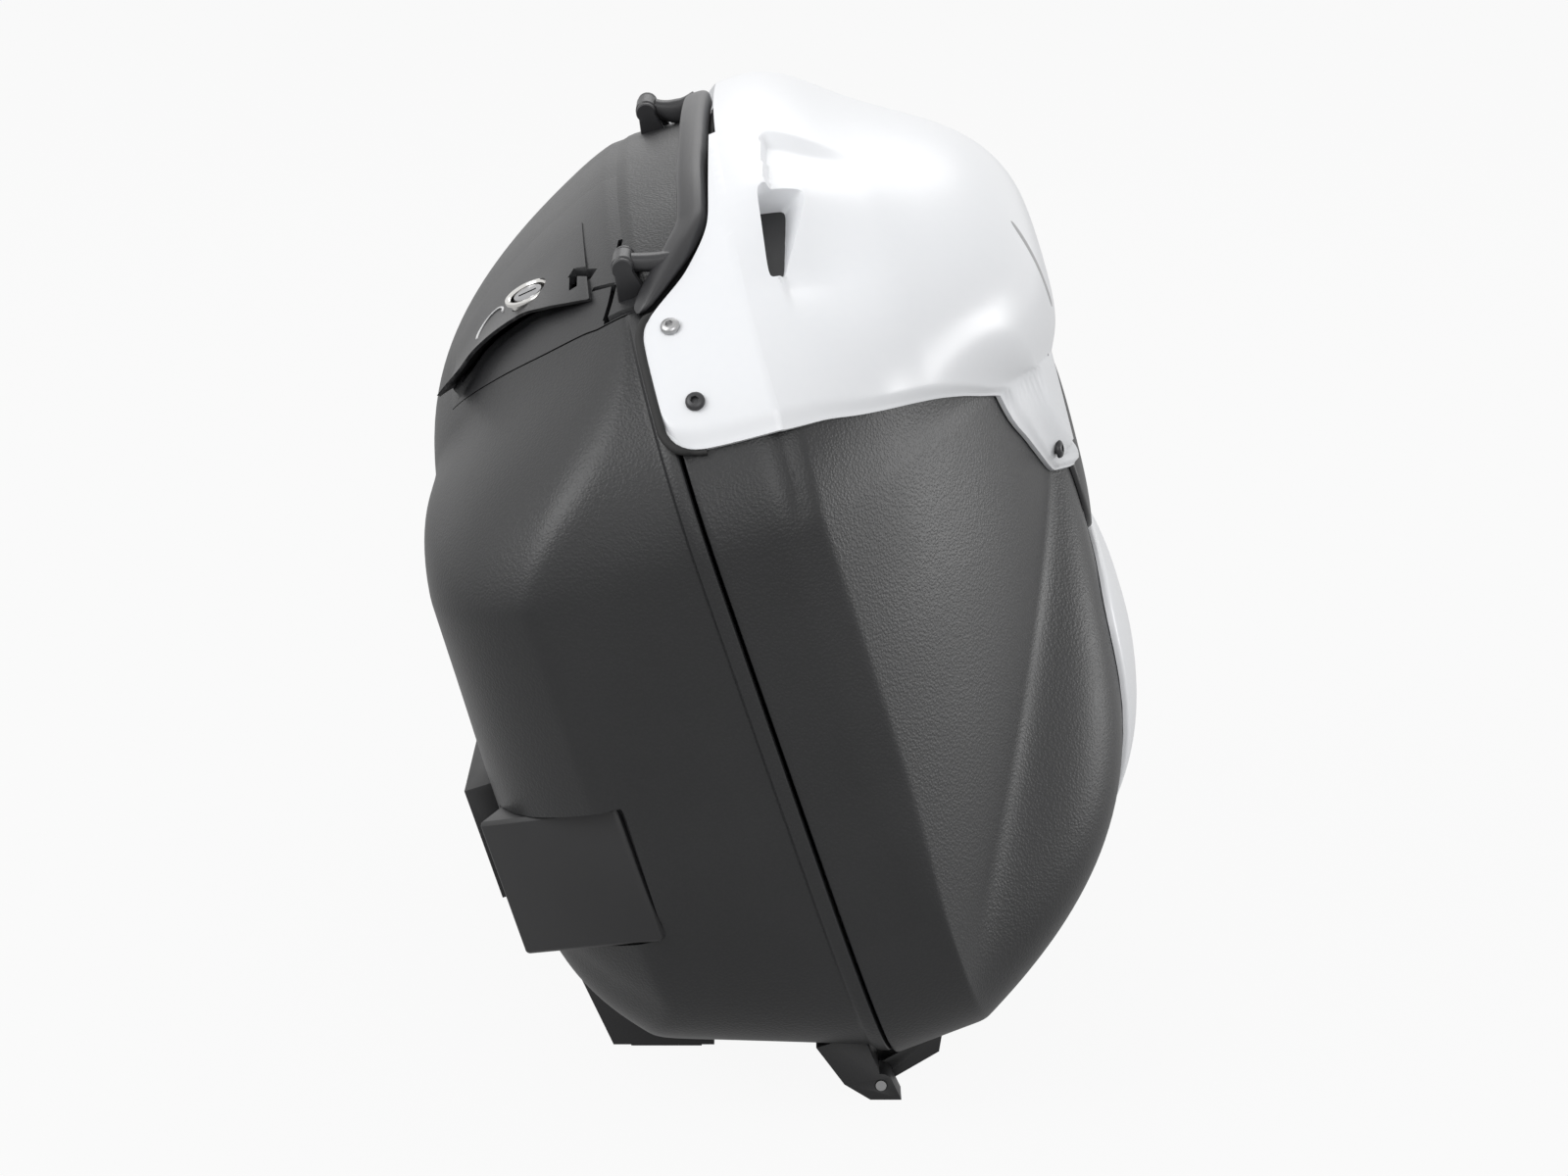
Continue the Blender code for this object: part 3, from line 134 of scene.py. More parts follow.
def smooth_line(value: Array, places: Sequence[float], heights: Sequence[float]) -> Array:
    """Curve through points that doesn't overshoot them: cubic pieces with limited slopes.

    Args:
        value: Where the curve is wanted.
        places: Places of the points, rising.
        heights: Heights of the points.

    Returns:
        Heights of the curve at value.
    """
    x, y = np.asarray(places, float), np.asarray(heights, float)
    step = np.diff(y) / np.diff(x)
    product, total = step[1:] * step[:-1], step[1:] + step[:-1]
    inner = np.where(product > 0.0, 2.0 * product / np.where(total == 0.0, 1.0, total), 0.0)
    slope = np.concatenate([step[:1], inner, step[-1:]])
    value = np.clip(value, x[0], x[-1])
    i = np.clip(np.searchsorted(x, value, side="right") - 1, 0, len(x) - 2)
    span = x[i + 1] - x[i]
    s = (value - x[i]) / span
    return ((2 * s ** 3 - 3 * s ** 2 + 1) * y[i] + (s ** 3 - 2 * s ** 2 + s) * span * slope[i]
            + (3 * s ** 2 - 2 * s ** 3) * y[i + 1] + (s ** 3 - s ** 2) * span * slope[i + 1])


def hinge_line_x() -> float:
    """World x of the lid's hinge pins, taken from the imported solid."""
    low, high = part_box("hinge_pin_near")
    return (low.x + high.x) / 2


@dataclass(frozen=True)
class CaseForm:
    """Sizes of the case, and the surfaces of its two shells.

    A place on a shell is an angle round its outline, 0 at the far end and a quarter turn at the top, and a
    share q of the way from the rim to the middle. Triples of sizes are for the end walls, top and bottom.
    """

    lean: float = math.radians(18.0)
    origin_height: float = 0.026
    pin_x: float = -0.010
    pin_lift: float = 0.0065
    pin_world_x: float = field(default_factory=hinge_line_x)
    half_length: float = 0.222
    nose_height: float = 0.228
    top_rise: float = 0.126
    tray_drop: float = 0.236
    lid_drop: float = 0.240
    bottom_power: float = 8.0
    face_power: float = 2.6
    corner_fade: int = 3
    end_taper: float = 0.10
    taper_power: float = 1.2
    tray_depth: float = 0.120
    tray_tilt: float = 0.080
    tray_floor_rise: float = 0.31
    lid_depth: float = 0.140
    lid_band: float = 0.038
    lid_tilt: float = 0.06
    wall: float = 0.003
    draft: float = 0.23
    parting: float = 0.0014
    gap: float = 0.0003
    tray_band_q: float = 0.30
    lid_band_q: float = 0.25
    tray_bands: Triple = (0.076, 0.012, 0.090)
    tray_powers: Triple = (8.0, 2.9, 10.0)
    lid_powers: Triple = (2.1, 4.6, 6.0)
    tray_blend: Triple = (0.045, 0.135, 0.045)
    lid_blend: Pair = (0.030, 0.140)
    tray_top_range: Pair = (-0.10, 0.70)
    lid_top_range: Pair = (0.05, 0.90)
    bottom_range: Pair = (0.50, 0.98)
    tray_blend_width: float = 0.20
    lid_blend_width: float = 0.14
    lid_blend_range: Pair = (-0.35, 0.15)
    blend_span: float = 1.8
    blend_samples: int = 19
    halvings: int = 40

    def world(self, points: Array) -> Array:
        """Lean points of the case's axes and move them to where the case stands.

        Args:
            points: Points in the case's axes.

        Returns:
            Points in the world.
        """
        sine, cosine = math.sin(self.lean), math.cos(self.lean)
        pin_u = self.pin_lift - (self.origin_height + self.pin_x * sine) / cosine
        shift = self.pin_world_x - cosine * self.pin_x + sine * pin_u
        x, y, u = points[..., 0], points[..., 1], points[..., 2]
        return np.stack([shift + cosine * x - sine * u, y, self.origin_height + sine * x + cosine * u], -1)

    def by_side(self, angle: Array, values: Sequence[float], top_range: Sequence[float]) -> Array:
        """Blend values of the end walls, the top and the bottom round the outline.

        Args:
            angle: Places round the outline.
            values: The three values.
            top_range: Sines of the angle between which the end's value gives way to the top's.

        Returns:
            Values at the places.
        """
        end, top, bottom = values
        to_top = ease(*top_range, np.sin(angle))
        to_bottom = ease(*self.bottom_range, -np.sin(angle))
        return end * (1.0 - to_top - to_bottom) + top * to_top + bottom * to_bottom

    def unit_outline(self, angle: Array, corner_power: Union[float, Array]) -> tuple[Array, Array]:
        """Side outline, one unit to each side: an arch above, and a box below that draws in downwards.

        Args:
            angle: Places round the outline.
            corner_power: Power of the squared ellipse below; a higher one has squarer corners.

        Returns:
            Shares of the half length and of the height.
        """
        power = np.where(np.sin(angle) > 0.0, 2.0, corner_power)
        along = signed_power(np.cos(angle), 2.0 / power)
        up = signed_power(np.sin(angle), 2.0 / power)
        return along * (1.0 - self.end_taper * np.clip(-up, 0.0, 1.0) ** self.taper_power), up

    def dome(self, q: Array, band_q: float) -> tuple[Array, Array]:
        """Split the way from rim to middle into the straight band's share and the dome's closing factor."""
        closing = np.clip((q - band_q) / (1.0 - band_q), 0.0, 1.0)
        return np.clip(q / band_q, 0.0, 1.0), np.cos(closing * math.pi / 2)

    def tray(self, angle: Array, q: Array) -> Array:
        """Outside of the tray: the outline shrinks by a cosine while its depth grows by a power of it.

        Args:
            angle: Places round the outline.
            q: Shares of the way from the rim to the middle.

        Returns:
            Points in the case's axes.
        """
        angle, q = matched(angle, q)
        band = self.by_side(angle, self.tray_bands, self.tray_top_range)
        power = self.by_side(angle, self.tray_powers, self.tray_top_range)
        share, closing = self.dome(q, self.tray_band_q)
        depth = band * share + (self.tray_depth - band) * (1.0 - closing ** power)
        scale = (1.0 - self.draft * band * share) * closing
        along, up = self.unit_outline(angle, self.bottom_power)
        height = scale * np.where(up > 0.0, self.top_rise, self.tray_drop - self.tray_floor_rise * depth) * up
        depth = depth - self.tray_tilt * height * (1.0 - closing ** 2)
        y = scale * self.half_length * along
        return np.stack([-self.parting / 2 - depth, y, self.nose_height + height], -1)

    def blended(self, surface: Surface, angle: Array, q: Array, reach: Array,
                turn: Pair) -> Array:
        """A shell with a rounded turn: the mean of places along q, weighted by a squared cosine.

        Args:
            surface: The shell.
            angle: Places round the outline.
            q: Shares of the way from the rim to the middle.
            reach: Half of the mean's reach along q, at the turn.
            turn: The turn's q, and the width over which the reach falls off as a bell curve.

        Returns:
            Points in the case's axes.
        """
        angle, q = matched(angle, q)
        reach = np.minimum(reach * np.exp(-((q - turn[0]) / turn[1]) ** 2), np.minimum(q, 1.0 - q) / 2)
        shifts = np.linspace(-self.blend_span, self.blend_span, self.blend_samples)
        weights = np.cos(shifts * math.pi / 4) ** 2
        return sum(weight * surface(angle, q + shift * reach)
                   for shift, weight in zip(shifts, weights / weights.sum()))

    def soft_tray(self, angle: Array, q: Array) -> Array:
        """The tray with the turn from its band to its dome rounded."""
        reach = self.by_side(angle, self.tray_blend, self.tray_top_range)
        return self.blended(self.tray, angle, q, reach, (self.tray_band_q, self.tray_blend_width))

    def soft_lid(self, angle: Array, q: Array) -> Array:
        """The lid with its ridge rounded, the more so towards the top, where the ridge fades out."""
        reach = between(*self.lid_blend, ease(*self.lid_blend_range, np.sin(angle)))
        return self.blended(self.lid, angle, q, reach, (self.lid_band_q, self.lid_blend_width))

    def lid_corner(self, closing: Array) -> Array:
        """Power of the lid's lower corners, which soften towards the middle of its face."""
        return between(self.face_power, self.bottom_power, closing ** self.corner_fade)

    def lid(self, angle: Array, q: Array) -> Array:
        """Outside of the lid: as the tray's, with corners that soften towards the middle of its face.

        Args:
            angle: Places round the outline.
            q: Shares of the way from the rim to the middle.

        Returns:
            Points in the case's axes.
        """
        angle, q = matched(angle, q)
        share, closing = self.dome(q, self.lid_band_q)
        power = self.by_side(angle, self.lid_powers, self.lid_top_range)
        depth = self.lid_band * share + (self.lid_depth - self.lid_band) * (1.0 - closing ** power)
        scale = (1.0 - self.draft * self.lid_band * share) * closing
        along, up = self.unit_outline(angle, self.lid_corner(closing))
        height = scale * np.where(up > 0.0, self.top_rise, self.lid_drop) * up
        depth = depth + self.lid_tilt * height * (1.0 - closing ** 2)
        y = scale * self.half_length * along
        return np.stack([self.parting / 2 + depth, y, self.nose_height + height], -1)

    def lid_face(self, y: Array, u: Array) -> Array:
        """Places of the lid's outer face over places in the side view, found by halving.

        Args:
            y: Places along the case.
            u: Heights along the parting plane.

        Returns:
            Points in the case's axes.
        """
        low, high = np.full(y.shape, self.lid_band_q), np.ones(y.shape)
        for _ in range(self.halvings):
            q = (low + high) / 2
            closing = self.dome(q, self.lid_band_q)[1]
            scale = (1.0 - self.draft * self.lid_band) * closing
            corner = np.where(u > self.nose_height, 2.0, self.lid_corner(closing))
            up = (u - self.nose_height) / np.where(u > self.nose_height, self.top_rise, self.lid_drop) / scale
            taper = 1.0 - self.end_taper * np.clip(-up, 0.0, 1.0) ** self.taper_power
            along = y / self.half_length / scale / taper
            outside = np.abs(along) ** corner + np.abs(up) ** corner > 1.0
            low, high = np.where(outside, low, q), np.where(outside, q, high)
        angle = np.arctan2(signed_power(up, corner / 2), signed_power(along, corner / 2))
        return self.lid(angle, q)

    def lid_over(self, angle: Array, q: Array) -> Array:
        """The lid, carried on straight over the tray's rim where q is below 0.

        Args:
            angle: Places round the outline.
            q: Shares of the way from the rim to the middle.

        Returns:
            Points in the case's axes.
        """
        point = self.lid(angle, np.maximum(q, 0.0))
        point[..., 0] += self.lid_band * np.minimum(q, 0.0) / self.lid_band_q
        return point

    def over_rim(self, angle: Array, x: Array) -> Array:
        """Places on the shells at a distance from the parting plane: the tray below 0, the lid above.

        Args:
            angle: Places round the outline.
            x: Distances from the parting plane.

        Returns:
            Points in the case's axes.
        """
        angle, x = matched(angle, x)
        band = self.by_side(angle, self.tray_bands, self.tray_top_range)
        on_tray = self.soft_tray(angle, self.tray_band_q * np.maximum(-x, 0.0) / band)
        on_lid = self.lid(angle, self.lid_band_q * np.maximum(x, 0.0) / self.lid_band)
        return np.where((x < 0.0)[..., None], on_tray, on_lid)

    def normal(self, surface: Surface, angle: Array, q: Array, step: float = 1e-4) -> Array:
        """Unit normals of a shell that point out of the case, from steps over its surface.

        Args:
            surface: The shell.
            angle: Places round the outline.
            q: Shares of the way from the rim to the middle.
            step: Step each way; a longer one turns evenly over a crease.

        Returns:
            The normals.
        """
        across = surface(angle + step, q) - surface(angle - step, q)
        inward = surface(angle, np.minimum(q + step, 1.0)) - surface(angle, q - step)
        normal = unit(np.cross(across, inward))
        middle = np.array([0.0, 0.0, self.nose_height])
        facing = np.sum(normal * (surface(angle, q) - middle), axis=-1, keepdims=True)
        return np.where(facing < 0.0, -normal, normal)

    def raised(self, surface: Surface, angle: Array, q: Array, lift: Union[float, Array],
               step: float = 1e-4) -> Array:
        """Points at a height over a shell's surface.

        Args:
            surface: The shell.
            angle: Places round the outline.
            q: Shares of the way from the rim to the middle.
            lift: Heights over the shell.
            step: Step over which the normals are taken.

        Returns:
            Points in the case's axes.
        """
        angle, q = matched(angle, q)
        lift = np.broadcast_to(np.asarray(lift, float), angle.shape)
        return surface(angle, q) + lift[..., None] * self.normal(surface, angle, q, step)

    def even_angles(self, count: int) -> Array:
        """Angles that step evenly along the rim, however square its corners are.

        Args:
            count: Number of the angles.

        Returns:
            The angles, from 0 to less than a full turn.
        """
        share = np.linspace(0.0, 1.0, 2000)
        low = np.arcsin(share ** 4)
        quarter = np.unique(np.concatenate([low, math.pi / 2 - low]))
        lower = np.concatenate([math.pi + quarter, 2.0 * math.pi - quarter])
        dense = np.unique(np.concatenate([np.linspace(0.0, math.pi, 2000), lower]))
        rim = self.tray(dense, np.zeros_like(dense))
        run = np.concatenate([[0.0], np.cumsum(np.linalg.norm(np.diff(rim, axis=0), axis=1))])
        return np.interp(np.linspace(0.0, run[-1], count, endpoint=False), run, dense)

    def rim_out(self, angle: Array) -> Array:
        """Directions square to the rim, in the parting plane.

        Args:
            angle: Places round the outline.

        Returns:
            Unit vectors.
        """
        out = self.normal(self.tray, angle, np.zeros_like(angle))
        out[..., 0] = 0.0
        return unit(out)

    def top(self, y: Union[float, Array]) -> Union[float, Array]:
        """Height of the shells' top over a place along the case."""
        return self.nose_height + self.top_rise * np.sqrt(1.0 - (np.asarray(y) / self.half_length) ** 2)


FORM = CaseForm()


def operator(operation: str, swapped: bool = False) -> Callable[["Term", "Operand"], "Term"]:
    """Operator of a term that adds a Math node.

    Args:
        operation: What the node does.
        swapped: Whether the term stands on the right.

    Returns:
        The operator.
    """
    def method(self: "Term", other: "Operand") -> "Term":
        """Combine the term with another one or with a number."""
        first, second = (other, self) if swapped else (self, other)
        return self.graph.node("ShaderNodeMath", {"operation": operation}, {0: first, 1: second})

    return method


class Term:
    """A socket in a material, which Python's operators combine through Math nodes."""

    __add__, __radd__ = operator("ADD"), operator("ADD", True)
    __sub__, __rsub__ = operator("SUBTRACT"), operator("SUBTRACT", True)
    __mul__, __rmul__ = operator("MULTIPLY"), operator("MULTIPLY", True)

    def __init__(self, graph: "Graph", socket: bpy.types.NodeSocket) -> None:
        """Wrap one output socket of a graph."""
        self.graph, self.socket = graph, socket


Operand = Union[Term, float]


class Graph:
    """Node tree of one material or world."""

    def __init__(self, owner: Union[bpy.types.Material, bpy.types.World]) -> None:
        """Start with the owner's tree, emptied.

        Args:
            owner: Material or world that gets the nodes.
        """
        owner.use_nodes = True
        self.tree = owner.node_tree
        self.tree.nodes.clear()

    def node(self, kind: str, settings: Optional[dict] = None, inputs: Optional[dict] = None,
             output: Union[int, str] = 0) -> Optional[Term]:
        """Add any node.

        Args:
            kind: Type of the node.
            settings: Its properties, set first.
            inputs: Values, or terms to link, by socket name or number.
            output: Socket to return.

        Returns:
            The chosen output as a term, or nothing for a node without one.
        """
        made = self.tree.nodes.new(kind)
        for key, value in (settings or {}).items():
            setattr(made, key, value)
        for key, value in (inputs or {}).items():
            if isinstance(value, Term):
                self.tree.links.new(value.socket, made.inputs[key])
            else:
                made.inputs[key].default_value = value
        return Term(self, made.outputs[output]) if made.outputs else None

    def coordinates(self) -> Term:
        """Places on the piece, in metres."""
        return self.node("ShaderNodeTexCoord", output="Object")

    def noise(self, places: Term, scale: float, detail: float = 2.0) -> Term:
        """Cloudy noise from 0 to 1, with a number of waves per metre."""
        return self.node("ShaderNodeTexNoise", inputs={"Vector": places, "Scale": scale, "Detail": detail})

    def mix(self, share: Term, first: Sequence[float], second: Sequence[float]) -> Term:
        """Colour between two colours."""
        return self.node("ShaderNodeMix", {"data_type": "RGBA"},
                         {0: share, 6: (*first, 1.0), 7: (*second, 1.0)}, 2)

    def between(self, value: Term, low: float, high: float) -> Term:
        """Smooth step of a value from 0 at low to 1 at high."""
        return self.node("ShaderNodeMapRange", {"interpolation_type": "SMOOTHSTEP"},
                         {"Value": value, "From Min": low, "From Max": high})


@dataclass(frozen=True)
class Finish:
    """One finish of the case: its colours, its gloss and its fine relief."""

    name: str
    colour: Triple
    second: Triple
    roughness: float
    spread: float
    relief: Relief
    relief_scale: float
    relief_depth: float
    metallic: float = 0.0
    coat: float = 0.0
    specular: float = 0.5
    cloud_scale: float = 14.0
    cloud_range: Pair = (0.30, 0.70)
    cloud_share: float = 0.6
    coat_roughness: float = 0.30
    wander_scale: float = 0.8
    wander_reach: float = 0.7
    cell_smoothness: float = 0.35
    cell_range: Pair = (0.15, 0.75)
    fine_scale: float = 3.0
    fine_share: float = 0.25

    def height(self, graph: Graph, places: Term) -> Term:
        """Height of the fine relief, from 0 to 1.

        Args:
            graph: Material that gets the nodes.
            places: Places on the piece.

        Returns:
            The height as a term.
        """
        if self.relief is Relief.LEATHER:
            wander = graph.node("ShaderNodeTexNoise", inputs={
                "Vector": places, "Scale": self.relief_scale * self.wander_scale,
                "Detail": 2.0}, output="Color")
            bent = graph.node("ShaderNodeVectorMath", {"operation": "MULTIPLY_ADD"}, {
                0: wander, 1: (self.wander_reach / self.relief_scale,) * 3, 2: places})
            cells = graph.node("ShaderNodeTexVoronoi", {"feature": "SMOOTH_F1"}, {
                "Vector": bent, "Scale": self.relief_scale, "Smoothness": self.cell_smoothness}, "Distance")
            fine = graph.noise(places, self.relief_scale * self.fine_scale)
            grain = 1.0 - graph.between(cells, *self.cell_range)
            return grain * (1.0 - self.fine_share) + fine * self.fine_share
        if self.relief is Relief.LATHE:
            return graph.noise(places, self.relief_scale, 4.0)
        return graph.noise(places, self.relief_scale, 3.0 if self.relief is Relief.SATIN else 0.0)

    def material(self) -> bpy.types.Material:
        """Make the material: clouds in colour and gloss, and a bump from the fine relief.

        Returns:
            The material, which pieces of one finish share.
        """
        found = bpy.data.materials.get(self.name)
        if found:
            return found
        made = bpy.data.materials.new(self.name)
        graph = Graph(made)
        places = graph.coordinates()
        clouds = graph.between(graph.noise(places, self.cloud_scale, 4.0), *self.cloud_range)
        height = self.height(graph, places)
        tone = clouds * self.cloud_share + height * (1.0 - self.cloud_share)
        bump = graph.node("ShaderNodeBump", inputs={
            "Strength": 1.0, "Distance": self.relief_depth, "Height": height})
        shader = graph.node("ShaderNodeBsdfPrincipled", inputs={
            "Base Color": graph.mix(tone, self.colour, self.second),
            "Roughness": self.roughness + (clouds - 0.5) * self.spread,
            "Metallic": self.metallic, "Coat Weight": self.coat, "Coat Roughness": self.coat_roughness,
            "Specular IOR Level": self.specular, "Normal": bump})
        graph.node("ShaderNodeOutputMaterial", inputs={"Surface": shader})
        return made


class Finishes:
    """The finishes of the case, named for its pieces."""

    SHELL = Finish("grained_shell", (0.0085, 0.0088, 0.0096), (0.0145, 0.0148, 0.0158), 0.42, 0.06,
                   Relief.LEATHER, 850.0, 0.00008, specular=0.52)
    SMOOTH_SHELL = Finish("lever_plastic", (0.010, 0.0103, 0.0115), (0.017, 0.0173, 0.0185), 0.42, 0.06,
                          Relief.LEATHER, 1100.0, 0.00006, specular=0.60)
    HANDLE = Finish("handle_satin", (0.020, 0.020, 0.022), (0.030, 0.030, 0.032), 0.40, 0.05,
                    Relief.SATIN, 2600.0, 0.00003)
    FITTING = Finish("fitting_plastic", (0.011, 0.011, 0.012), (0.019, 0.019, 0.020), 0.46, 0.08,
                     Relief.SATIN, 1800.0, 0.00004)
    # Darker, matte plastic of the plate in the grip window: painted shade of the window's hollow.
    WINDOW_SHADE = Finish("window_painted_shade", (0.006, 0.006, 0.007), (0.012, 0.012, 0.013), 0.60, 0.08,
                   Relief.SATIN, 1800.0, 0.00004)
    RUBBER = Finish("trim_rubber", (0.008, 0.008, 0.008), (0.016, 0.016, 0.016), 0.70, 0.10,
                    Relief.SATIN, 1500.0, 0.00005)
    PAINT = Finish("white_gloss", (0.79, 0.805, 0.83), (0.82, 0.83, 0.85), 0.32, 0.05,
                   Relief.PEEL, 260.0, 0.000012, coat=0.35, cloud_scale=5.0)
    STEEL = Finish("screw_steel", (0.34, 0.34, 0.35), (0.44, 0.44, 0.44), 0.30, 0.10,
                   Relief.LATHE, 2400.0, 0.00002, metallic=1.0)
    DARK_STEEL = Finish("coated_steel", (0.035, 0.035, 0.038), (0.06, 0.06, 0.062), 0.36, 0.10,
                        Relief.SATIN, 2000.0, 0.00002, metallic=0.6)
    CHROME = Finish("lock_nickel", (0.66, 0.65, 0.63), (0.74, 0.73, 0.71), 0.20, 0.08,
                    Relief.LATHE, 3000.0, 0.00001, metallic=1.0)
    # Grey of the strips that stand for the cover's slots: painted shade of their recesses, which are not cut.
    SLOT_SHADE = Finish("slot_painted_shade", (0.36, 0.36, 0.37), (0.42, 0.42, 0.43), 0.5, 0.08, Relief.SATIN,
                  1800.0, 0.00003)
    MARK = Finish("lock_mark", (0.62, 0.62, 0.63), (0.72, 0.72, 0.72), 0.50, 0.05,
                  Relief.SATIN, 2000.0, 0.00001)


class Skin:
    """Points and faces of one surface, gathered grid by grid in the case's axes."""

    def __init__(self) -> None:
        """Start with nothing."""
        self.points: list[Array] = []
        self.faces: list[list[int]] = []
        self.count = 0

    def add(self, points: Array) -> Array:
        """Add points.

        Args:
            points: Points in a grid of any shape.

        Returns:
            Their numbers, in the same shape.
        """
        flat = np.asarray(points, float).reshape(-1, 3)
        numbers = np.arange(self.count, self.count + len(flat)).reshape(np.shape(points)[:-1])
        self.points.append(flat)
        self.count += len(flat)
        return numbers

    def quads(self, numbers: Array, wrap: bool = False) -> None:
        """Add the faces of a grid.

        Args:
            numbers: Grid of point numbers.
            wrap: Whether its second direction closes on itself.
        """
        if wrap:
            numbers = np.concatenate([numbers, numbers[:, :1]], axis=1)
        corners = (numbers[:-1, :-1], numbers[:-1, 1:], numbers[1:, 1:], numbers[1:, :-1])
        self.faces += np.stack(corners, -1).reshape(-1, 4).tolist()

    def grid(self, points: Array, wrap: bool = False) -> Array:
        """Add a grid of points with its faces.

        Args:
            points: Grid of points.
            wrap: Whether its second direction closes on itself.

        Returns:
            Numbers of the points.
        """
        numbers = self.add(points)
        self.quads(numbers, wrap)
        return numbers

    def fan(self, ring: Array, pole: Sequence[float]) -> None:
        """Close a ring with triangles.

        Args:
            ring: Point numbers of the ring.
            pole: Point in which the triangles meet.
        """
        middle = int(self.add(np.array([pole]))[0])
        after = np.roll(ring, -1)
        self.faces += np.stack([ring, after, np.full_like(ring, middle)], -1).tolist()

    def slab(self, outer: Array, inner: Array) -> "Skin":
        """Closed plate between two grids of the same shape.

        Args:
            outer: Grid of the outer face.
            inner: Grid of the inner face.

        Returns:
            This skin.
        """
        top, bottom = self.grid(outer), self.grid(inner)
        for take in (np.s_[0, :], np.s_[-1, :], np.s_[:, 0], np.s_[:, -1]):
            self.quads(np.stack([top[take], bottom[take]]))
        return self

    def tube(self, rings: Array, capped: bool = True, pole: Optional[Sequence[float]] = None) -> "Skin":
        """Rings of points carried along a path, closed at both ends.

        Args:
            rings: Grid of rings by points.
            capped: Whether the ends are closed.
            pole: Point that closes the last ring, if not its middle.

        Returns:
            This skin.
        """
        numbers = self.grid(rings, wrap=True)
        if capped:
            self.fan(numbers[0], rings[0].mean(axis=0))
            self.fan(numbers[-1], rings[-1].mean(axis=0) if pole is None else pole)
        return self

    def quads_from(self, other: "Skin") -> None:
        """Add all of another skin.

        Args:
            other: The other skin.
        """
        start = self.count
        self.add(np.concatenate(other.points))
        self.faces += [[start + number for number in face] for face in other.faces]

    def build(self, name: str) -> Object:
        """Make the object where the case stands, its faces turned outwards.

        Args:
            name: Name of the object.

        Returns:
            The new object.
        """
        mesh = bpy.data.meshes.new(name)
        mesh.from_pydata(FORM.world(np.concatenate(self.points)).tolist(), [], self.faces)
        weld(mesh, WELD_NEW, outwards=True)
        return linked(name, mesh)


def linked(name: str, data: bpy.types.ID) -> Object:
    """New object in the scene.

    Args:
        name: Its name.
        data: Its mesh, lamp or camera.

    Returns:
        The object.
    """
    made = bpy.data.objects.new(name, data)
    bpy.context.scene.collection.objects.link(made)
    return made


def weld(mesh: bpy.types.Mesh, reach: float, outwards: bool = False, flat: float = 0.0) -> None:
    """Merge a mesh's doubled points.

    Args:
        mesh: The mesh.
        reach: Distance within which points are merged.
        outwards: Whether its faces are then turned outwards.
        flat: Angle up to which neighbouring faces are merged too, in degrees.
    """
    shape = bmesh.new()
    shape.from_mesh(mesh)
    bmesh.ops.remove_doubles(shape, verts=shape.verts, dist=reach)
    if outwards:
        bmesh.ops.recalc_face_normals(shape, faces=shape.faces)
    if flat:
        bmesh.ops.dissolve_limit(shape, angle_limit=math.radians(flat), verts=shape.verts, edges=shape.edges)
    shape.to_mesh(mesh)
    shape.free()


def bake(made: Object) -> Object:
    """Apply an object's modifiers to its mesh.

    Args:
        made: The object.

    Returns:
        The same object.
    """
    graph = bpy.context.evaluated_depsgraph_get()
    graph.update()
    mesh = bpy.data.meshes.new_from_object(made.evaluated_get(graph))
    made.modifiers.clear()
    made.data = mesh
    return made


def combine(made: Object, others: Sequence[Object],
            operation: str = "DIFFERENCE") -> None:
    """Cut, join or trim an object with others, which are used up.

    Args:
        made: Object that is changed.
        others: Objects that it is combined with.
        operation: DIFFERENCE, UNION or INTERSECT.
    """
    for other in others:
        step = made.modifiers.new("combine", "BOOLEAN")
        step.operation, step.solver, step.object = operation, "EXACT", other
        bake(made)
        bpy.data.objects.remove(other, do_unlink=True)


def soften(made: Object, width: float, segments: int, angle: float = 50.0) -> Object:
    """Round an object's edges.

    Args:
        made: The object.
        width: Width of the rounding.
        segments: Steps across it.
        angle: Turn from which an edge is rounded, in degrees.

    Returns:
        The same object.
    """
    bevel = made.modifiers.new("soft_edges", "BEVEL")
    bevel.width, bevel.segments, bevel.limit_method = width, segments, "ANGLE"
    bevel.angle_limit = math.radians(angle)
    return bake(made)


def dress(made: Object, finish: Finish, body: Body, slot: Slot, *nodes: str,
          crease: float = 38.0) -> Object:
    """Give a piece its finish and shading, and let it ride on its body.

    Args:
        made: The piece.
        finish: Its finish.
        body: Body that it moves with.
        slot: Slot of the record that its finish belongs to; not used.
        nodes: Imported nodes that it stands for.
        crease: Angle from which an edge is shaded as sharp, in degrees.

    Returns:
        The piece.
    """
    made.data.materials.clear()
    made.data.materials.append(finish.material())
    made.data.polygons.foreach_set("use_smooth", np.ones(len(made.data.polygons), bool))
    made.data.set_sharp_from_angle(angle=math.radians(crease))
    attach(made, body.value)
    if nodes:
        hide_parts(*nodes)
    LOG.info("%s: %d faces on %s", made.name, len(made.data.polygons), body.value)
    return made


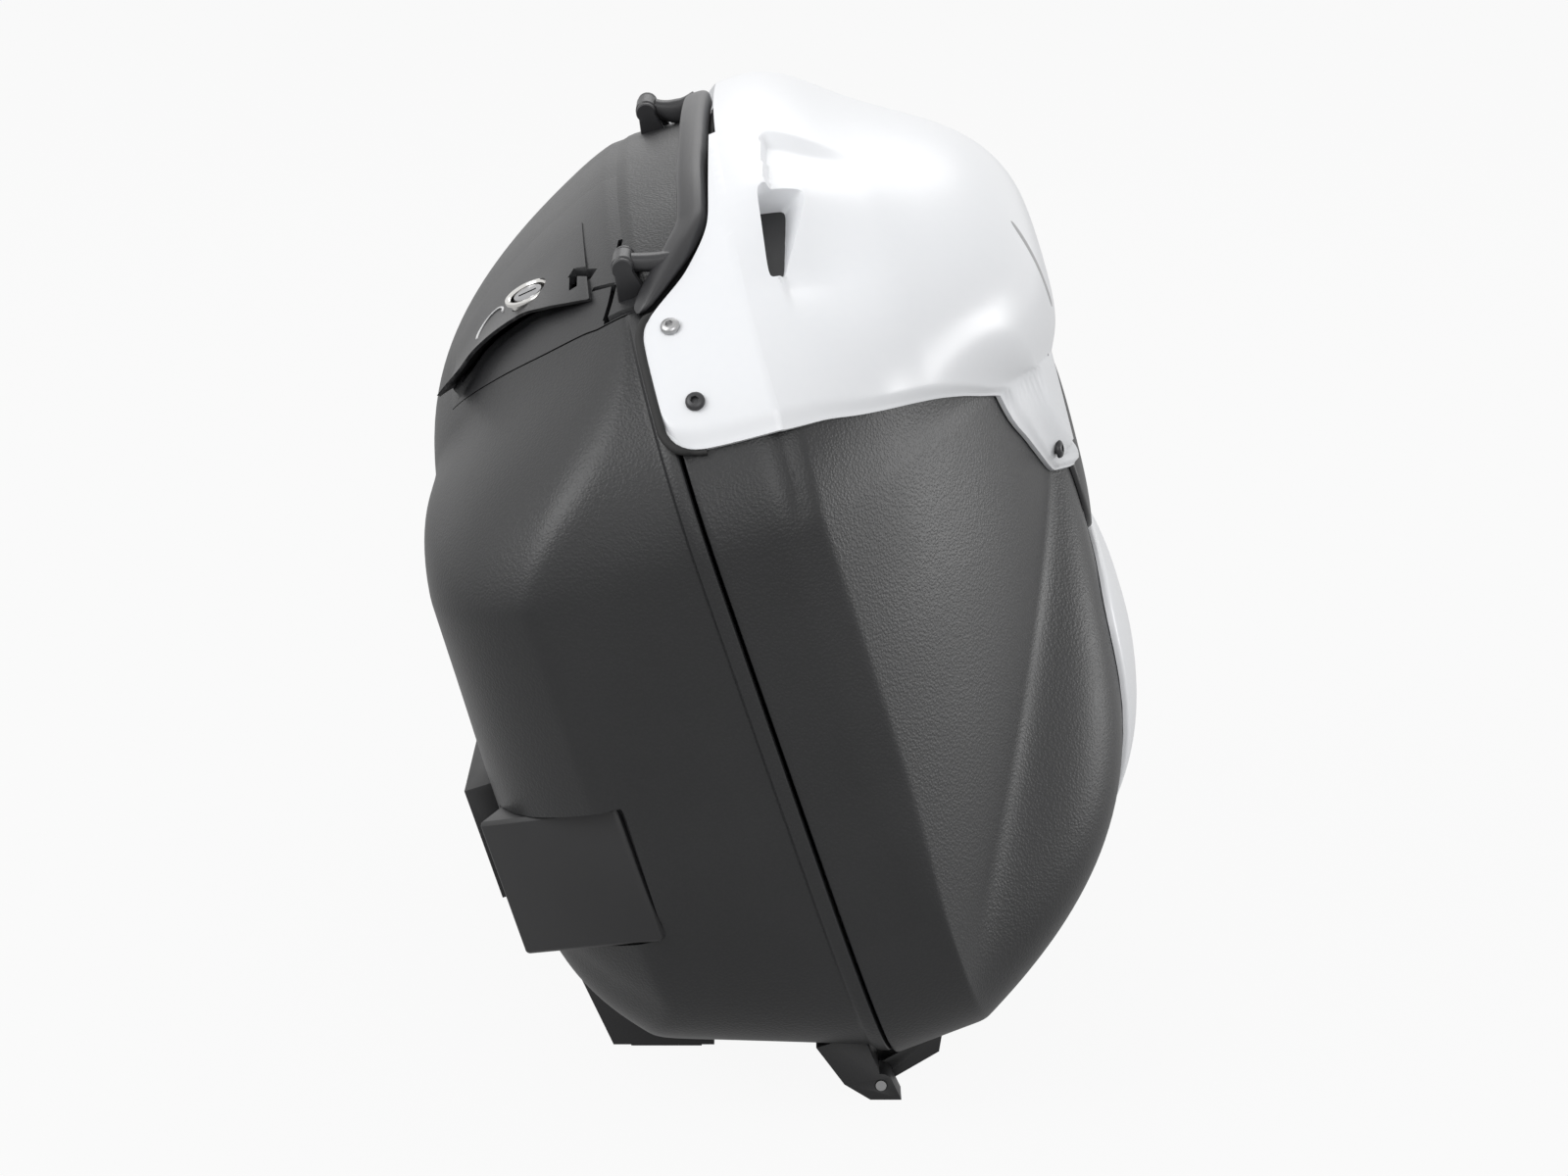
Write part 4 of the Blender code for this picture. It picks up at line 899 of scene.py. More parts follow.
def rounded_box(low: Sequence[float], high: Sequence[float], radius: float, steps: int = 5,
                place: Optional[Array] = None) -> Skin:
    """Box with rounded edges: each direction of a ball is moved out to the box's nearest corner.

    Args:
        low: Lowest corner.
        high: Highest corner.
        radius: Radius of its edges.
        steps: Steps round each edge.
        place: Turn and place as a 4 by 4 array.

    Returns:
        The closed skin.
    """
    low, high = np.asarray(low, float), np.asarray(high, float)
    core = (high - low) / 2 - radius
    quarter = np.linspace(0.0, math.pi / 2, steps + 1)
    around = np.concatenate([quarter + turn * math.pi / 2 for turn in range(4)])
    side = np.repeat([(1, 1), (-1, 1), (-1, -1), (1, -1)], steps + 1, axis=0)
    tilt = np.concatenate([quarter - math.pi / 2, quarter])
    level = np.repeat([-1.0, 1.0], steps + 1)
    x = np.outer(np.cos(tilt), np.cos(around)) * radius + side[:, 0] * core[0]
    y = np.outer(np.cos(tilt), np.sin(around)) * radius + side[:, 1] * core[1]
    z = np.repeat((np.sin(tilt) * radius + level * core[2])[:, None], len(around), axis=1)
    points = np.stack([x, y, z], -1) + (low + high) / 2
    return Skin().tube(points if place is None else placed(points, place))


def lathe(profile: Sequence[Pair], place: Array, steps: int = 48,
          closed: bool = False) -> Skin:
    """Turned piece: pairs of height and radius carried round an axis.

    Args:
        profile: Heights along the axis and radii, from end to end.
        place: Turn and place of the axis, as a 4 by 4 array.
        steps: Steps round the axis.
        closed: Whether the profile is the outline of a ring, which ends where it starts.

    Returns:
        The closed skin.
    """
    turn = np.linspace(0.0, 2.0 * math.pi, steps, endpoint=False)
    height, radius = np.array([*profile, profile[0]] if closed else profile, float).T
    rings = np.stack([np.outer(radius, np.cos(turn)), np.outer(radius, np.sin(turn)),
                      np.repeat(height[:, None], steps, axis=1)], -1)
    return Skin().tube(placed(rings, place), capped=not closed)


def frame_at(seat: Array, axes: Sequence[Array]) -> Array:
    """Place with given axes.

    Args:
        seat: Where it is.
        axes: Its three directions.

    Returns:
        The place, as a 4 by 4 array.
    """
    place = np.eye(4)
    place[:3, :3] = np.stack(axes, -1)
    place[:3, 3] = seat
    return place


def axis_place(seat: Array, axis: Sequence[float]) -> Array:
    """Place whose third axis lies along a direction.

    Args:
        seat: Where it is.
        axis: The direction.

    Returns:
        The place, as a 4 by 4 array.
    """
    axis = unit(np.asarray(axis, float))
    helper = (0.0, 0.0, 1.0) if abs(axis[2]) < 0.9 else (1.0, 0.0, 0.0)
    side = unit(np.cross(helper, axis))
    return frame_at(seat, [side, np.cross(axis, side), axis])


def swept(line: Array, half_width: Union[float, Array], half_height: Union[float, Array], sides: int,
          power: float = 1.0, upright: Union[Sequence[float], Array] = (0.0, 0.0, 1.0)) -> Skin:
    """Section carried along a line: a squared ellipse, upright across the way ahead.

    Args:
        line: Points of the middle.
        half_width: Half width at each point, sideways.
        half_height: Half height at each point.
        sides: Points round the section.
        power: 1 for an ellipse, less for a squarer section.
        upright: Direction of the section's height, for all points or for each.

    Returns:
        The closed skin.
    """
    ahead = unit(np.gradient(line, axis=0))
    side = unit(np.cross(ahead, upright))
    up = np.cross(side, ahead)
    turn = np.linspace(0.0, 2.0 * math.pi, sides, endpoint=False)
    wide = np.outer(np.broadcast_to(half_width, len(line)), signed_power(np.cos(turn), power))
    high = np.outer(np.broadcast_to(half_height, len(line)), signed_power(np.sin(turn), power))
    return Skin().tube(line[:, None] + wide[..., None] * side[:, None] + high[..., None] * up[:, None])


@dataclass(frozen=True)
class TrayShell:
    """Bike-side shell with its rim flange and the two mounting pockets."""

    columns: int = 420
    band_rows: int = 14
    dome_rows: int = 54
    inner_rows: int = 26
    flange: tuple[Pair, ...] = (
        (0.0, 0.0010), (0.00025, 0.0016), (0.0008, 0.0020), (0.0030, 0.00215), (0.0052, 0.0020),
        (0.0059, 0.0016), (0.0063, 0.0008), (0.0070, 0.0001))
    flange_end: float = 0.0078
    block_turn: float = math.radians(31.0)
    block_size: Triple = (0.068, 0.022, 0.058)
    block_x: float = -0.098
    block_end_inset: float = 0.032
    block_u: float = 0.112
    pocket_side: float = 0.018
    pocket_round: float = 0.006
    pocket_rise: float = 0.016
    pocket_lip: float = 0.003
    skin_depth: float = 0.0004
    fill_rows: int = 30
    last_q: float = 0.97
    row_power: float = 1.25
    bead_fade: Four = (1.00, 1.08, 2.37, 2.42)

    def rows(self, lift: float, count: int) -> Array:
        """Rows of the shell from the rim to near its middle.

        Args:
            lift: Height over its outside.
            count: Number of the rows.

        Returns:
            Grid of points.
        """
        angle = FORM.even_angles(self.columns)
        q = np.concatenate([np.linspace(0.0, FORM.tray_band_q, count // 3, endpoint=False),
                            np.linspace(FORM.tray_band_q, self.last_q, count - count // 3)])
        return FORM.raised(FORM.soft_tray, angle[None, :], q[:, None], lift, 0.01)

    def outside(self) -> Array:
        """Rows of the outside: the bead round the rim, the band and the dome.

        Returns:
            Grid of points.
        """
        angle = FORM.even_angles(self.columns)
        band = FORM.by_side(angle, FORM.tray_bands, FORM.tray_top_range)
        out = FORM.rim_out(angle)
        fade = (1.0 - plateau(angle, *self.bead_fade))[:, None]
        bead = [FORM.tray(angle, FORM.tray_band_q * depth / band) + height * fade * out
                for depth, height in self.flange]
        start = FORM.tray_band_q * self.flange_end / band
        share = np.linspace(0.0, 1.0, self.band_rows)[:, None]
        straight = FORM.soft_tray(angle[None, :], between(start, FORM.tray_band_q, share))
        closing = np.linspace(0.0, 1.0, self.dome_rows + 1)[1:-1, None] ** self.row_power
        dome = FORM.soft_tray(angle[None, :], between(FORM.tray_band_q, 1.0, closing))
        return np.concatenate([np.array(bead), straight, dome])

    def turned(self, sign: float) -> Array:
        """Place of a mounting block, turned about the upright axis.

        Args:
            sign: 1 for the near end and -1 for the far end.

        Returns:
            The place, as a 4 by 4 array.
        """
        cos, sin = math.cos(self.block_turn), -sign * math.sin(self.block_turn)
        seat = (self.block_x, -sign * (FORM.half_length - self.block_end_inset), self.block_u)
        return frame_at(seat, [(cos, sin, 0.0), (-sin, cos, 0.0), (0.0, 0.0, 1.0)])

    def pocket(self, made: Object, sign: float) -> None:
        """Mould the pocket round a block into the shell: a walled box joined on, then hollowed.

        Args:
            made: The shell.
            sign: 1 for the near end and -1 for the far end.
        """
        length, depth, height = self.block_size
        half, tall, wall = length / 2 + FORM.gap, height / 2 + FORM.gap, FORM.wall
        place = self.turned(sign)
        front = -sign * length

        def box(deep: float, grow: float, left: float, right: float, opening: float = 0.0) -> Skin:
            """Rounded box of the pocket.

            Args:
                deep: How far its back lies inside the block's middle.
                grow: How far it is grown up and down.
                left: How far it is grown to the left.
                right: How far it is grown to the right.
                opening: Share by which its right side leans outwards from its back.

            Returns:
                The closed skin.
            """
            edges = sorted((sign * deep, front))
            skin = rounded_box((-half - left, edges[0], -tall - grow), (half + right, edges[1], tall + grow),
                               self.pocket_round + grow, 6)
            local = np.concatenate(skin.points)
            past = np.maximum(local[:, 0] - half, 0.0)
            local[:, 0] += past * opening * ((deep - sign * local[:, 1]) / self.pocket_rise - 1.0)
            skin.points = [placed(local, place)]
            return skin

        body = box(depth + FORM.gap + wall, wall, wall, wall + self.pocket_side).build("pocket_body")
        fill = Skin().tube(self.rows(-self.skin_depth, self.fill_rows))
        combine(body, [fill.build("tray_fill")], "INTERSECT")
        combine(made, [body], "UNION")
        room = box(depth + FORM.gap, 0.0, length, 0.0)
        flare = box(self.pocket_lip, -self.skin_depth, -half, self.pocket_side, 1.0)
        combine(made, [room.build("pocket_room"), flare.build("pocket_flare")])

    def build(self, openings: Sequence[Object]) -> None:
        """Make the shell, with its pockets and with openings cut through it.

        Args:
            openings: Objects that are cut out of the shell.
        """
        outer, inner = self.outside(), self.rows(-FORM.wall, self.inner_rows)
        pole = (-FORM.parting / 2 - FORM.tray_depth, 0.0, FORM.nose_height)
        made = Skin().tube(np.concatenate([inner[::-1], outer]), pole=pole).build("inner_shell_skin")
        combine(made, openings)
        for sign in (1.0, -1.0):
            self.pocket(made, sign)
        weld(made.data, WELD_CUT)
        dress(made, Finishes.SHELL, Body.CASE, Slot.GRAIN, "inner_shell", crease=32.0)


@dataclass(frozen=True)
class LidShell:
    """Outer shell: a flat band beside the parting line, a soft ridge and a dome."""

    columns: int = 420
    band_rows: int = 26
    dome_rows: int = 64
    inner_rows: int = 26
    inner_band_rows: int = 7
    last_q: float = 0.97
    row_power: float = 1.15
    lip: tuple[Pair, ...] = ((0.0, -0.0007), (0.0003, -0.0002), (0.0009, 0.0))
    lip_end: float = 0.0024

    def build(self) -> None:
        """Make the shell."""
        angle = FORM.even_angles(self.columns)
        lip = [FORM.raised(FORM.lid, angle, FORM.lid_band_q * depth / FORM.lid_band, lift)
               for depth, lift in self.lip]
        start = FORM.lid_band_q * self.lip_end / FORM.lid_band
        share = np.linspace(start, FORM.lid_band_q, self.band_rows)
        closing = np.linspace(0.0, 1.0, self.dome_rows + 1)[1:-1] ** self.row_power
        q = np.concatenate([share, between(FORM.lid_band_q, 1.0, closing)])
        wall = FORM.soft_lid(angle[None, :], q[:, None])
        inner_q = np.concatenate([
            np.linspace(0.0, FORM.lid_band_q, self.inner_band_rows, endpoint=False),
            np.linspace(FORM.lid_band_q, self.last_q, self.inner_rows - self.inner_band_rows)])
        inner = FORM.raised(FORM.lid, angle[None, :], inner_q[:, None], -FORM.wall)
        inner[0, :, 0] = FORM.parting / 2
        skin = Skin().tube(np.concatenate([inner[::-1], np.array(lip), wall]),
                           pole=(FORM.parting / 2 + FORM.lid_depth, 0.0, FORM.nose_height))
        dress(skin.build("lid_shell_skin"), Finishes.SHELL, Body.LID, Slot.GRAIN, "lid_shell", crease=32.0)


@dataclass(frozen=True)
class Latch:
    """Latch housing, release lever and what is cut into them, on the tray's upper near corner.

    Places on the tray are pairs of an angle t and a share q, as in the form's surfaces.
    """

    housing_top: float = 1.80
    housing_q: Pair = (0.004, 0.72)
    seam_q: Row = (0.004, 0.36, 0.42, 0.51, 0.62, 0.72)
    seam_t: Row = (2.378, 2.382, 2.374, 2.361, 2.318, 2.250)
    seam_width: float = 0.0055
    lever_top: float = 1.95
    lever_q: Pair = (0.368, 0.70)
    visor_q: Row = (0.378, 0.436, 0.49, 0.54, 0.59, 0.62, 0.657, 0.70)
    visor_t: Row = (2.282, 2.269, 2.241, 2.207, 2.200, 2.206, 2.240, 2.258)
    visor_lift_q: Row = (0.378, 0.49, 0.62, 0.70)
    visor_lift: Row = (0.0015, 0.0050, 0.0075, 0.0093)
    ridge_q: Row = (0.40, 0.50, 0.576, 0.657, 0.72)
    ridge_t: Row = (2.268, 2.243, 2.203, 2.103, 2.040)
    scoop_depth: float = 0.0016
    scoop_reach: Pair = (0.055, 0.008)
    hole_margin: float = 0.025
    thickness: float = 0.0040
    proud: float = 0.0004
    step: float = 0.02
    lift_power: float = 2.3
    thin_share: float = 0.6
    edge_fade: Triple = (0.006, 0.003, 0.010)
    running_gap: float = 0.0007
    lock_spot: Pair = (2.112, 0.529)
    lock_lift: float = 0.0021
    lock_axis: Triple = (-0.12, -0.20, 0.97)
    lock_hole: tuple[Pair, ...] = ((-0.018, 0.0088), (0.018, 0.0088))
    barrel: tuple[Pair, ...] = (
        (-0.0035, 0.0085), (0.0004, 0.0085), (0.0004, 0.0097), (0.0006, 0.0100), (0.0014, 0.0100),
        (0.0018, 0.0098), (0.0020, 0.0093), (0.0019, 0.0083), (0.0012, 0.0077), (-0.0035, 0.0075))
    plug: tuple[Pair, ...] = (
        (-0.0035, 0.0062), (0.0010, 0.0062), (0.0014, 0.0060), (0.0015, 0.0056), (0.0015, 0.0001))
    keyway: tuple[Triple, ...] = ((-0.0007, -0.0039, -0.0025), (0.0007, 0.0039, 0.0050))
    mark_spot: Pair = (2.065, 0.610)
    mark_reach: Pair = (-0.055, 0.028)
    mark_size: Triple = (0.00055, 0.00035, 0.0003)
    groove_half_depth: float = 0.009
    hole_lifts: Pair = (0.012, -0.014)
    opening_lifts: Pair = (0.008, -0.0055)
    housing_round: float = 0.0003
    lever_round: float = 0.0005
    grooves: tuple[tuple[float, tuple[Pair, ...]], ...] = (
        (0.0026, ((2.371, 0.330), (2.369, 0.075))),
        (0.0024, ((2.269, 0.226), (2.320, 0.275), (2.368, 0.325))),
        (0.0018, ((2.245, 0.358), (2.258, 0.290), (2.268, 0.222))),
        (0.0046, ((2.150, 0.432), (2.192, 0.340))),
        (0.0038, ((2.158, 0.424), (2.218, 0.430))),
        (0.0020, ((2.112, 0.088), (2.199, 0.180))))

    def visor(self, q: Array) -> Array:
        """Angle of the lever's overhanging edge."""
        return smooth_line(q, self.visor_q, self.visor_t)

    def seam(self, q: Array) -> Array:
        """Angle of the housing's lower edge."""
        return smooth_line(q, self.seam_q, self.seam_t)

    def ridge(self, q: Array) -> Array:
        """Angle of the soft ridge that ends the finger scoop."""
        return smooth_line(q, self.ridge_q, self.ridge_t)

    def down(self, t: Array, q: Array) -> Array:
        """Share of the way from the lever's upper edge to its visor."""
        return np.clip((t - self.lever_top) / (self.visor(q) - self.lever_top), 0.0, 1.0)

    def rise(self, t: Array, q: Array) -> Array:
        """Face of the lever over the tray: flush above, lifted along its visor towards the beak."""
        lift = smooth_line(q, self.visor_lift_q, self.visor_lift)
        return self.proud + lift * self.down(t, q) ** self.lift_power

    def under(self, t: Array, q: Array) -> Array:
        """Underside of the lever, which thins out towards the visor."""
        return self.rise(t, q) - self.thickness * (1.0 - self.thin_share * ease(0.6, 1.0, self.down(t, q)))

    def floor(self, t: Array, q: Array) -> Array:
        """Face of the housing over the tray: flush, hollowed under the lever, with a scoop before its visor.

        Args:
            t: Angles of the places.
            q: Their shares of the way inwards.

        Returns:
            Heights over the tray.
        """
        fade, start, end = self.edge_fade
        inside = ease(self.lever_top, self.lever_top + fade, t)
        inside = inside * plateau(q, self.lever_q[0] + start, self.lever_q[0] + end,
                                  self.lever_q[1] - fade, self.lever_q[1])
        reach, stop = self.scoop_reach
        back = 1.0 - ease(0.0, 1.0, (t - self.visor(q) + reach) / (reach - stop))
        hollow = -self.scoop_depth * (1.0 - ease(0.0, 1.0, (t - self.ridge(q)) / reach + 1.0))
        return inside * ((self.under(t, q) - self.running_gap) * back + hollow * (1.0 - back))

    def patch(self, low: float, high: Callable[[Array], Array], q_range: Sequence[float],
              steps: tuple[int, int], lift: Union[float, Lift]) -> Array:
        """Grid over a stretch of the tray.

        Args:
            low: Angle of its upper edge.
            high: Angle of its lower edge for each q.
            q_range: Stretch from the rim inwards.
            steps: Points each way.
            lift: Height over the tray, or a function of the place.

        Returns:
            Grid of points.
        """
        share, q = np.meshgrid(np.linspace(0.0, 1.0, steps[0]), np.linspace(*q_range, steps[1]),
                               indexing="ij")
        t = between(low, high(q), share)
        return FORM.raised(FORM.soft_tray, t, q, lift(t, q) if callable(lift) else lift, self.step)

    def groove(self, width: float, places: Sequence[Pair]) -> Object:
        """Cutter of a straight-sided groove.

        Args:
            width: Width of the groove.
            places: Places on the tray along its middle.

        Returns:
            The cutter.
        """
        t, q = np.array(places).T
        share = np.linspace(0.0, 1.0, len(places))
        more = np.linspace(0.0, 1.0, 9)
        line = FORM.soft_tray(np.interp(more, share, t), np.interp(more, share, q))
        return swept(line, width / 2, self.groove_half_depth, 8, 0.2).build("groove")

    def lock_place(self) -> Array:
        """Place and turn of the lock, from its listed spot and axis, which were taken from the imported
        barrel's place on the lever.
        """
        return axis_place(FORM.raised(FORM.tray, *self.lock_spot, self.lock_lift), self.lock_axis)

    def housing(self) -> Object:
        """Make the housing, hollowed for the lever and with its grooves.

        Returns:
            The opening that it fills in the tray.
        """
        steps = (130, 110)
        outer = self.patch(self.housing_top, self.seam, self.housing_q, steps, self.floor)
        inner = self.patch(self.housing_top, self.seam, self.housing_q, steps,
                           lambda t, q: self.floor(t, q) - FORM.wall)
        made = Skin().slab(outer, inner).build("latch_housing_skin")

        def hole_end(q: Array) -> Array:
            """Lower edge of the hole under the lever."""
            return self.visor(q) - self.scoop_reach[0] + self.hole_margin

        margin = self.hole_margin
        hole_q = self.lever_q[0] + margin, self.lever_q[1] - margin
        grids = [self.patch(self.lever_top + margin, hole_end, hole_q, (40, 40), lift)
                 for lift in self.hole_lifts]
        order = (*self.grooves[3:], *self.grooves[:3])
        combine(made, [*(self.groove(*groove) for groove in order), Skin().slab(*grids).build("lever_hole")])
        soften(made, self.housing_round, 2)
        dress(made, Finishes.SMOOTH_SHELL, Body.CASE, Slot.GRAIN, "latch_housing", crease=30.0)

        def opening_end(q: Array) -> Array:
            """Lower edge of the opening in the tray, a seam below the housing."""
            return self.seam(q) + self.seam_width

        grids = [self.patch(self.housing_top, opening_end, self.housing_q, (60, 60), lift)
                 for lift in self.opening_lifts]
        return Skin().slab(*grids).build("housing_hole")

    def lever(self) -> None:
        """Make the lever with its seat for the lock, and the curved mark beside it."""
        steps = (80, 100)
        outer = self.patch(self.lever_top, self.visor, self.lever_q, steps, self.rise)
        inner = self.patch(self.lever_top, self.visor, self.lever_q, steps, self.under)
        made = Skin().slab(outer, inner).build("release_lever_skin")
        combine(made, [*(self.groove(*groove) for groove in self.grooves[3:5]),
                       lathe(self.lock_hole, self.lock_place(), 64).build("lock_hole")])
        soften(made, self.lever_round, 2)
        dress(made, Finishes.SMOOTH_SHELL, Body.LEVER, Slot.GRAIN, "release_lever", crease=30.0)

        turn = np.radians(np.linspace(-10.0, 190.0, 40))
        t = self.mark_spot[0] + self.mark_reach[0] * np.sin(turn)
        q = self.mark_spot[1] + self.mark_reach[1] * np.cos(turn)
        half_width, half_height, lift = self.mark_size
        line = FORM.raised(FORM.soft_tray, t, q, self.rise(t, q) + lift, self.step)
        mark = swept(line, half_width, half_height, 8)
        dress(mark.build("lock_mark"), Finishes.MARK, Body.LEVER, Slot.WHITE)

    def lock(self) -> None:
        """Make the barrel with its raised ring, and the plug with its keyway."""
        place = self.lock_place()
        barrel = lathe(self.barrel, place, 64, closed=True)
        dress(barrel.build("lock_barrel_fine"), Finishes.CHROME, Body.LEVER, Slot.CHROME, "lock_barrel")
        plug = lathe(self.plug, place, 64).build("lock_plug_fine")
        combine(plug, [rounded_box(*self.keyway, 0.0003, 2, place).build("keyway")])
        dress(plug, Finishes.STEEL, Body.PLUG, Slot.STEEL, "lock_plug")

    def build(self) -> list[Object]:
        """Make the housing, the lever and the lock.

        Returns:
            Openings to cut out of the tray.
        """
        opening = self.housing()
        self.lever()
        self.lock()
        return [opening]


@dataclass(frozen=True)
class Screw:
    """Button-head screw with a hexagon socket."""

    head_radius: float = 0.0038
    head_height: float = 0.0022
    shank_radius: float = 0.0020
    socket_radius: float = 0.0014
    socket_depth: float = 0.0015
    socket_flare: float = 1.06
    socket_edge: float = 0.0001
    rim_share: float = 0.25
    flat_share: float = 0.42

    def build(self, name: str, seat: Array, axis: Array, length: float) -> Object:
        """Make the screw: a shank, a rounded head, and a socket whose rings turn from round to six-sided.

        Args:
            name: Name of the piece.
            seat: Where the head sits.
            axis: Direction out of the head.
            length: Length of the shank.

        Returns:
            The new object.
        """
        turn = np.linspace(0.0, 2.0 * math.pi, 48, endpoint=False)
        round_ring = np.ones_like(turn)
        hexagon = 1.0 / np.cos((turn % (math.pi / 3)) - math.pi / 6)
        bend = np.linspace(0.0, math.pi / 2, 7)
        dome = [(FORM.gap + self.head_height * between(self.rim_share, 1.0, math.sin(b)),
                 self.head_radius * between(self.flat_share, 1.0, math.cos(b)), round_ring) for b in bend]
        top = FORM.gap + self.head_height
        rings = [(-length, self.shank_radius, round_ring), (FORM.gap, self.shank_radius, round_ring),
                 (FORM.gap, self.head_radius, round_ring), *dome,
                 (top, self.socket_radius * self.socket_flare, hexagon),
                 (top - self.socket_edge, self.socket_radius, hexagon),
                 (top - self.socket_depth, self.socket_radius, hexagon)]
        points = np.array([np.stack([radius * shape * np.cos(turn), radius * shape * np.sin(turn),
                                     np.full_like(turn, height)], -1) for height, radius, shape in rings])
        return Skin().tube(placed(points, axis_place(seat, axis))).build(name)


@dataclass(frozen=True)
class TopCover:
    """White cover over the upper lid, with its ridge, grip trough and window, trim and screws."""

    steps: tuple[int, int] = (300, 130)
    stand: float = 0.0042
    ridge: float = 0.0120
    ridge_x: float = 0.056
    outer_q: float = 0.87
    settle_turns: int = 12
    swell: float = 0.0060
    edge_share: float = 0.55
    bay_t: Four = (1.00, 1.22, 2.15, 2.46)
    edge_t: Row = (0.96, 1.04, 1.18, 1.25, 1.53, 1.85, 2.14, 2.215, 2.325, 2.475, 2.51, 2.56)
    edge_out: Row = (-0.0032, 0.0020, 0.0330, 0.0385, 0.0410, 0.0385, 0.0337, 0.0315, 0.0199,
                                   -0.0020, -0.0030, -0.0032)
    side_q: Row = (-0.023, -0.015, 0.01, 0.068, 0.41, 0.49, 0.61, 0.67, 0.735, 0.785,
                                 0.81, 0.835, 0.87)
    side_t: Row = (2.762, 2.790, 2.822, 2.841, 2.866, 2.892, 2.938, 2.988, 3.095, 3.23,
                                 3.37, 3.60, 4.00)
    swell_q: Pair = (0.55, 0.80)
    margin_fades: Pair = (0.06, 0.35)
    trough_left: float = 0.0518
    trough_slope: float = 0.05
    trough_bend: Pair = (-0.129, -0.079)
    trough_across: Triple = (0.0028, 0.066, 0.094)
    trough_along: Four = (-0.178, -0.150, -0.0870, -0.076)
    trough_depth: float = 0.0045
    window_power: float = 0.28
    window_reach: float = 0.010
    floor_t: Pair = (2.02, 2.52)
    floor_q: Pair = (0.33, 0.45)
    floor_lift: Pair = (0.00022, 0.00005)
    hem: Pair = (0.0024, 0.003)
    window_low: Row = (2.160, 2.405, 0.352, 0.404, 0.384)
    window_high: Row = (2.165, 2.437, 0.352, 0.430, 0.408)
    trim_radius: Pair = (0.0017, 0.0011)
    trim_lift: float = 0.0019
    trim_fades: Pair = (0.004, 0.006)
    trim_tip: int = 16
    shank: float = 0.0036
    edge_round: float = 0.0009
    slot_size: Pair = (0.0005, 0.0003)
    slots: tuple[tuple[str, tuple[Pair, Pair], float], ...] = (
        ("cover_slot_long", ((2.164, 0.719), (2.614, 0.850)), 0.0030),
        ("cover_slot_short", ((3.00, 0.850), (3.09, 0.856)), 0.0008))
    screws: tuple[Pair, ...] = ((2.487, 0.053), (2.714, 0.068), (3.480, 0.836))

    def edge_x(self, angle: Array) -> Array:
        """Where the cover starts, out from the parting plane: it clears the handle's bay along the top."""
        return smooth_line(angle, self.edge_t, self.edge_out)

    def places(self, steps: tuple[int, int]) -> tuple[Array, Array]:
        """Places over the cover, along it from the far edge to the near edge and out from the rim.

        Args:
            steps: Points each way.

        Returns:
            Grids of the angle and of q, which depend on one another and settle in a few turns.
        """
        share, across = np.meshgrid(np.linspace(0.0, 1.0, steps[0]), np.linspace(0.0, 1.0, steps[1]),
                                    indexing="ij")
        angle = math.pi * (1.0 - share)
        for _ in range(self.settle_turns):
            start = FORM.lid_band_q * self.edge_x(angle) / FORM.lid_band
            q = between(start, self.outer_q, across)
            near = smooth_line(q, self.side_q, self.side_t)
            angle = (math.pi - near) + (2.0 * near - math.pi) * share
        return angle, q

    def height(self, angle: Array, q: Array) -> Array:
        """Outer face of the cover above the lid, with the ridge beside the handle's bay and the grip trough.

        Args:
            angle: Places round the outline.
            q: Shares of the way from the rim to the middle.

        Returns:
            Heights over the lid.
        """
        point = FORM.lid(angle, q)
        x, y = point[..., 0], point[..., 1]
        across = np.exp(-((x - self.ridge_x) / (self.ridge_x / 2)) ** 2)
        wall, *right = self.trough_across
        left = self.trough_left + self.trough_slope * (np.clip(y, *self.trough_bend) - self.trough_bend[0])
        trough = ease(0.0, wall, x - left) * (1.0 - ease(*right, x)) * plateau(y, *self.trough_along)
        margin = smooth_line(q, self.side_q, self.side_t) - np.maximum(angle, math.pi - angle)
        edge, dome = (ease(0.0, fade, margin) for fade in self.margin_fades)
        stand = self.stand * between(self.edge_share, 1.0, edge)
        swell = self.swell * ease(*self.swell_q, q) * dome
        ridge = self.ridge * plateau(angle, *self.bay_t) * across
        return stand + swell + ridge - self.trough_depth * trough

    def window(self) -> Object:
        """Cutter of the grip window: a rectangle with rounded corners that widens upwards from the lid.

        Returns:
            The cutter.
        """
        turn = np.linspace(0.0, 2.0 * math.pi, 96, endpoint=False)
        across, along = (signed_power(part, self.window_power) for part in (np.cos(turn), np.sin(turn)))
        low, high = np.array(self.window_low), np.array(self.window_high)
        rings = []
        for share in (-0.3, 0.0, 1.0, 2.2):
            far, near, left, far_side, near_side = low + max(share, 0.0) * (high - low)
            t = (far + near) / 2 + (near - far) / 2 * along
            right = between(far_side, near_side, (t - far) / (near - far))
            q = (left + right) / 2 + (right - left) / 2 * across
            rings.append(FORM.raised(FORM.lid, t, q, self.window_reach * share))
        return Skin().tube(np.array(rings)).build("grip_window")

    def edge_line(self) -> tuple[Array, Array]:
        """Line of the rubber edge: round the far tip, along the cover's bike side and round the near tip.

        Returns:
            Points of its middle, and its radius at each.
        """
        angle, q = self.places((300, 160))
        tip = slice(1, self.trim_tip)
        line_t, line_q = (np.concatenate([grid[0, tip][::-1], grid[:, 0], grid[-1, tip]])
                          for grid in (angle, q))
        x = FORM.lid_band * line_q / FORM.lid_band_q
        thin, over = (ease(0.0, fade, x) for fade in self.trim_fades)
        radius = between(*self.trim_radius, thin)
        lift = radius + FORM.gap + self.trim_lift * (1.0 - over)
        line = FORM.raised(FORM.lid_over, line_t, line_q, lift)
        out = unit(np.cross(FORM.normal(FORM.lid_over, line_t, line_q), np.gradient(line, axis=0)))
        out *= -np.sign(out[len(out) // 2, 0])
        return line + out * radius[:, None], radius

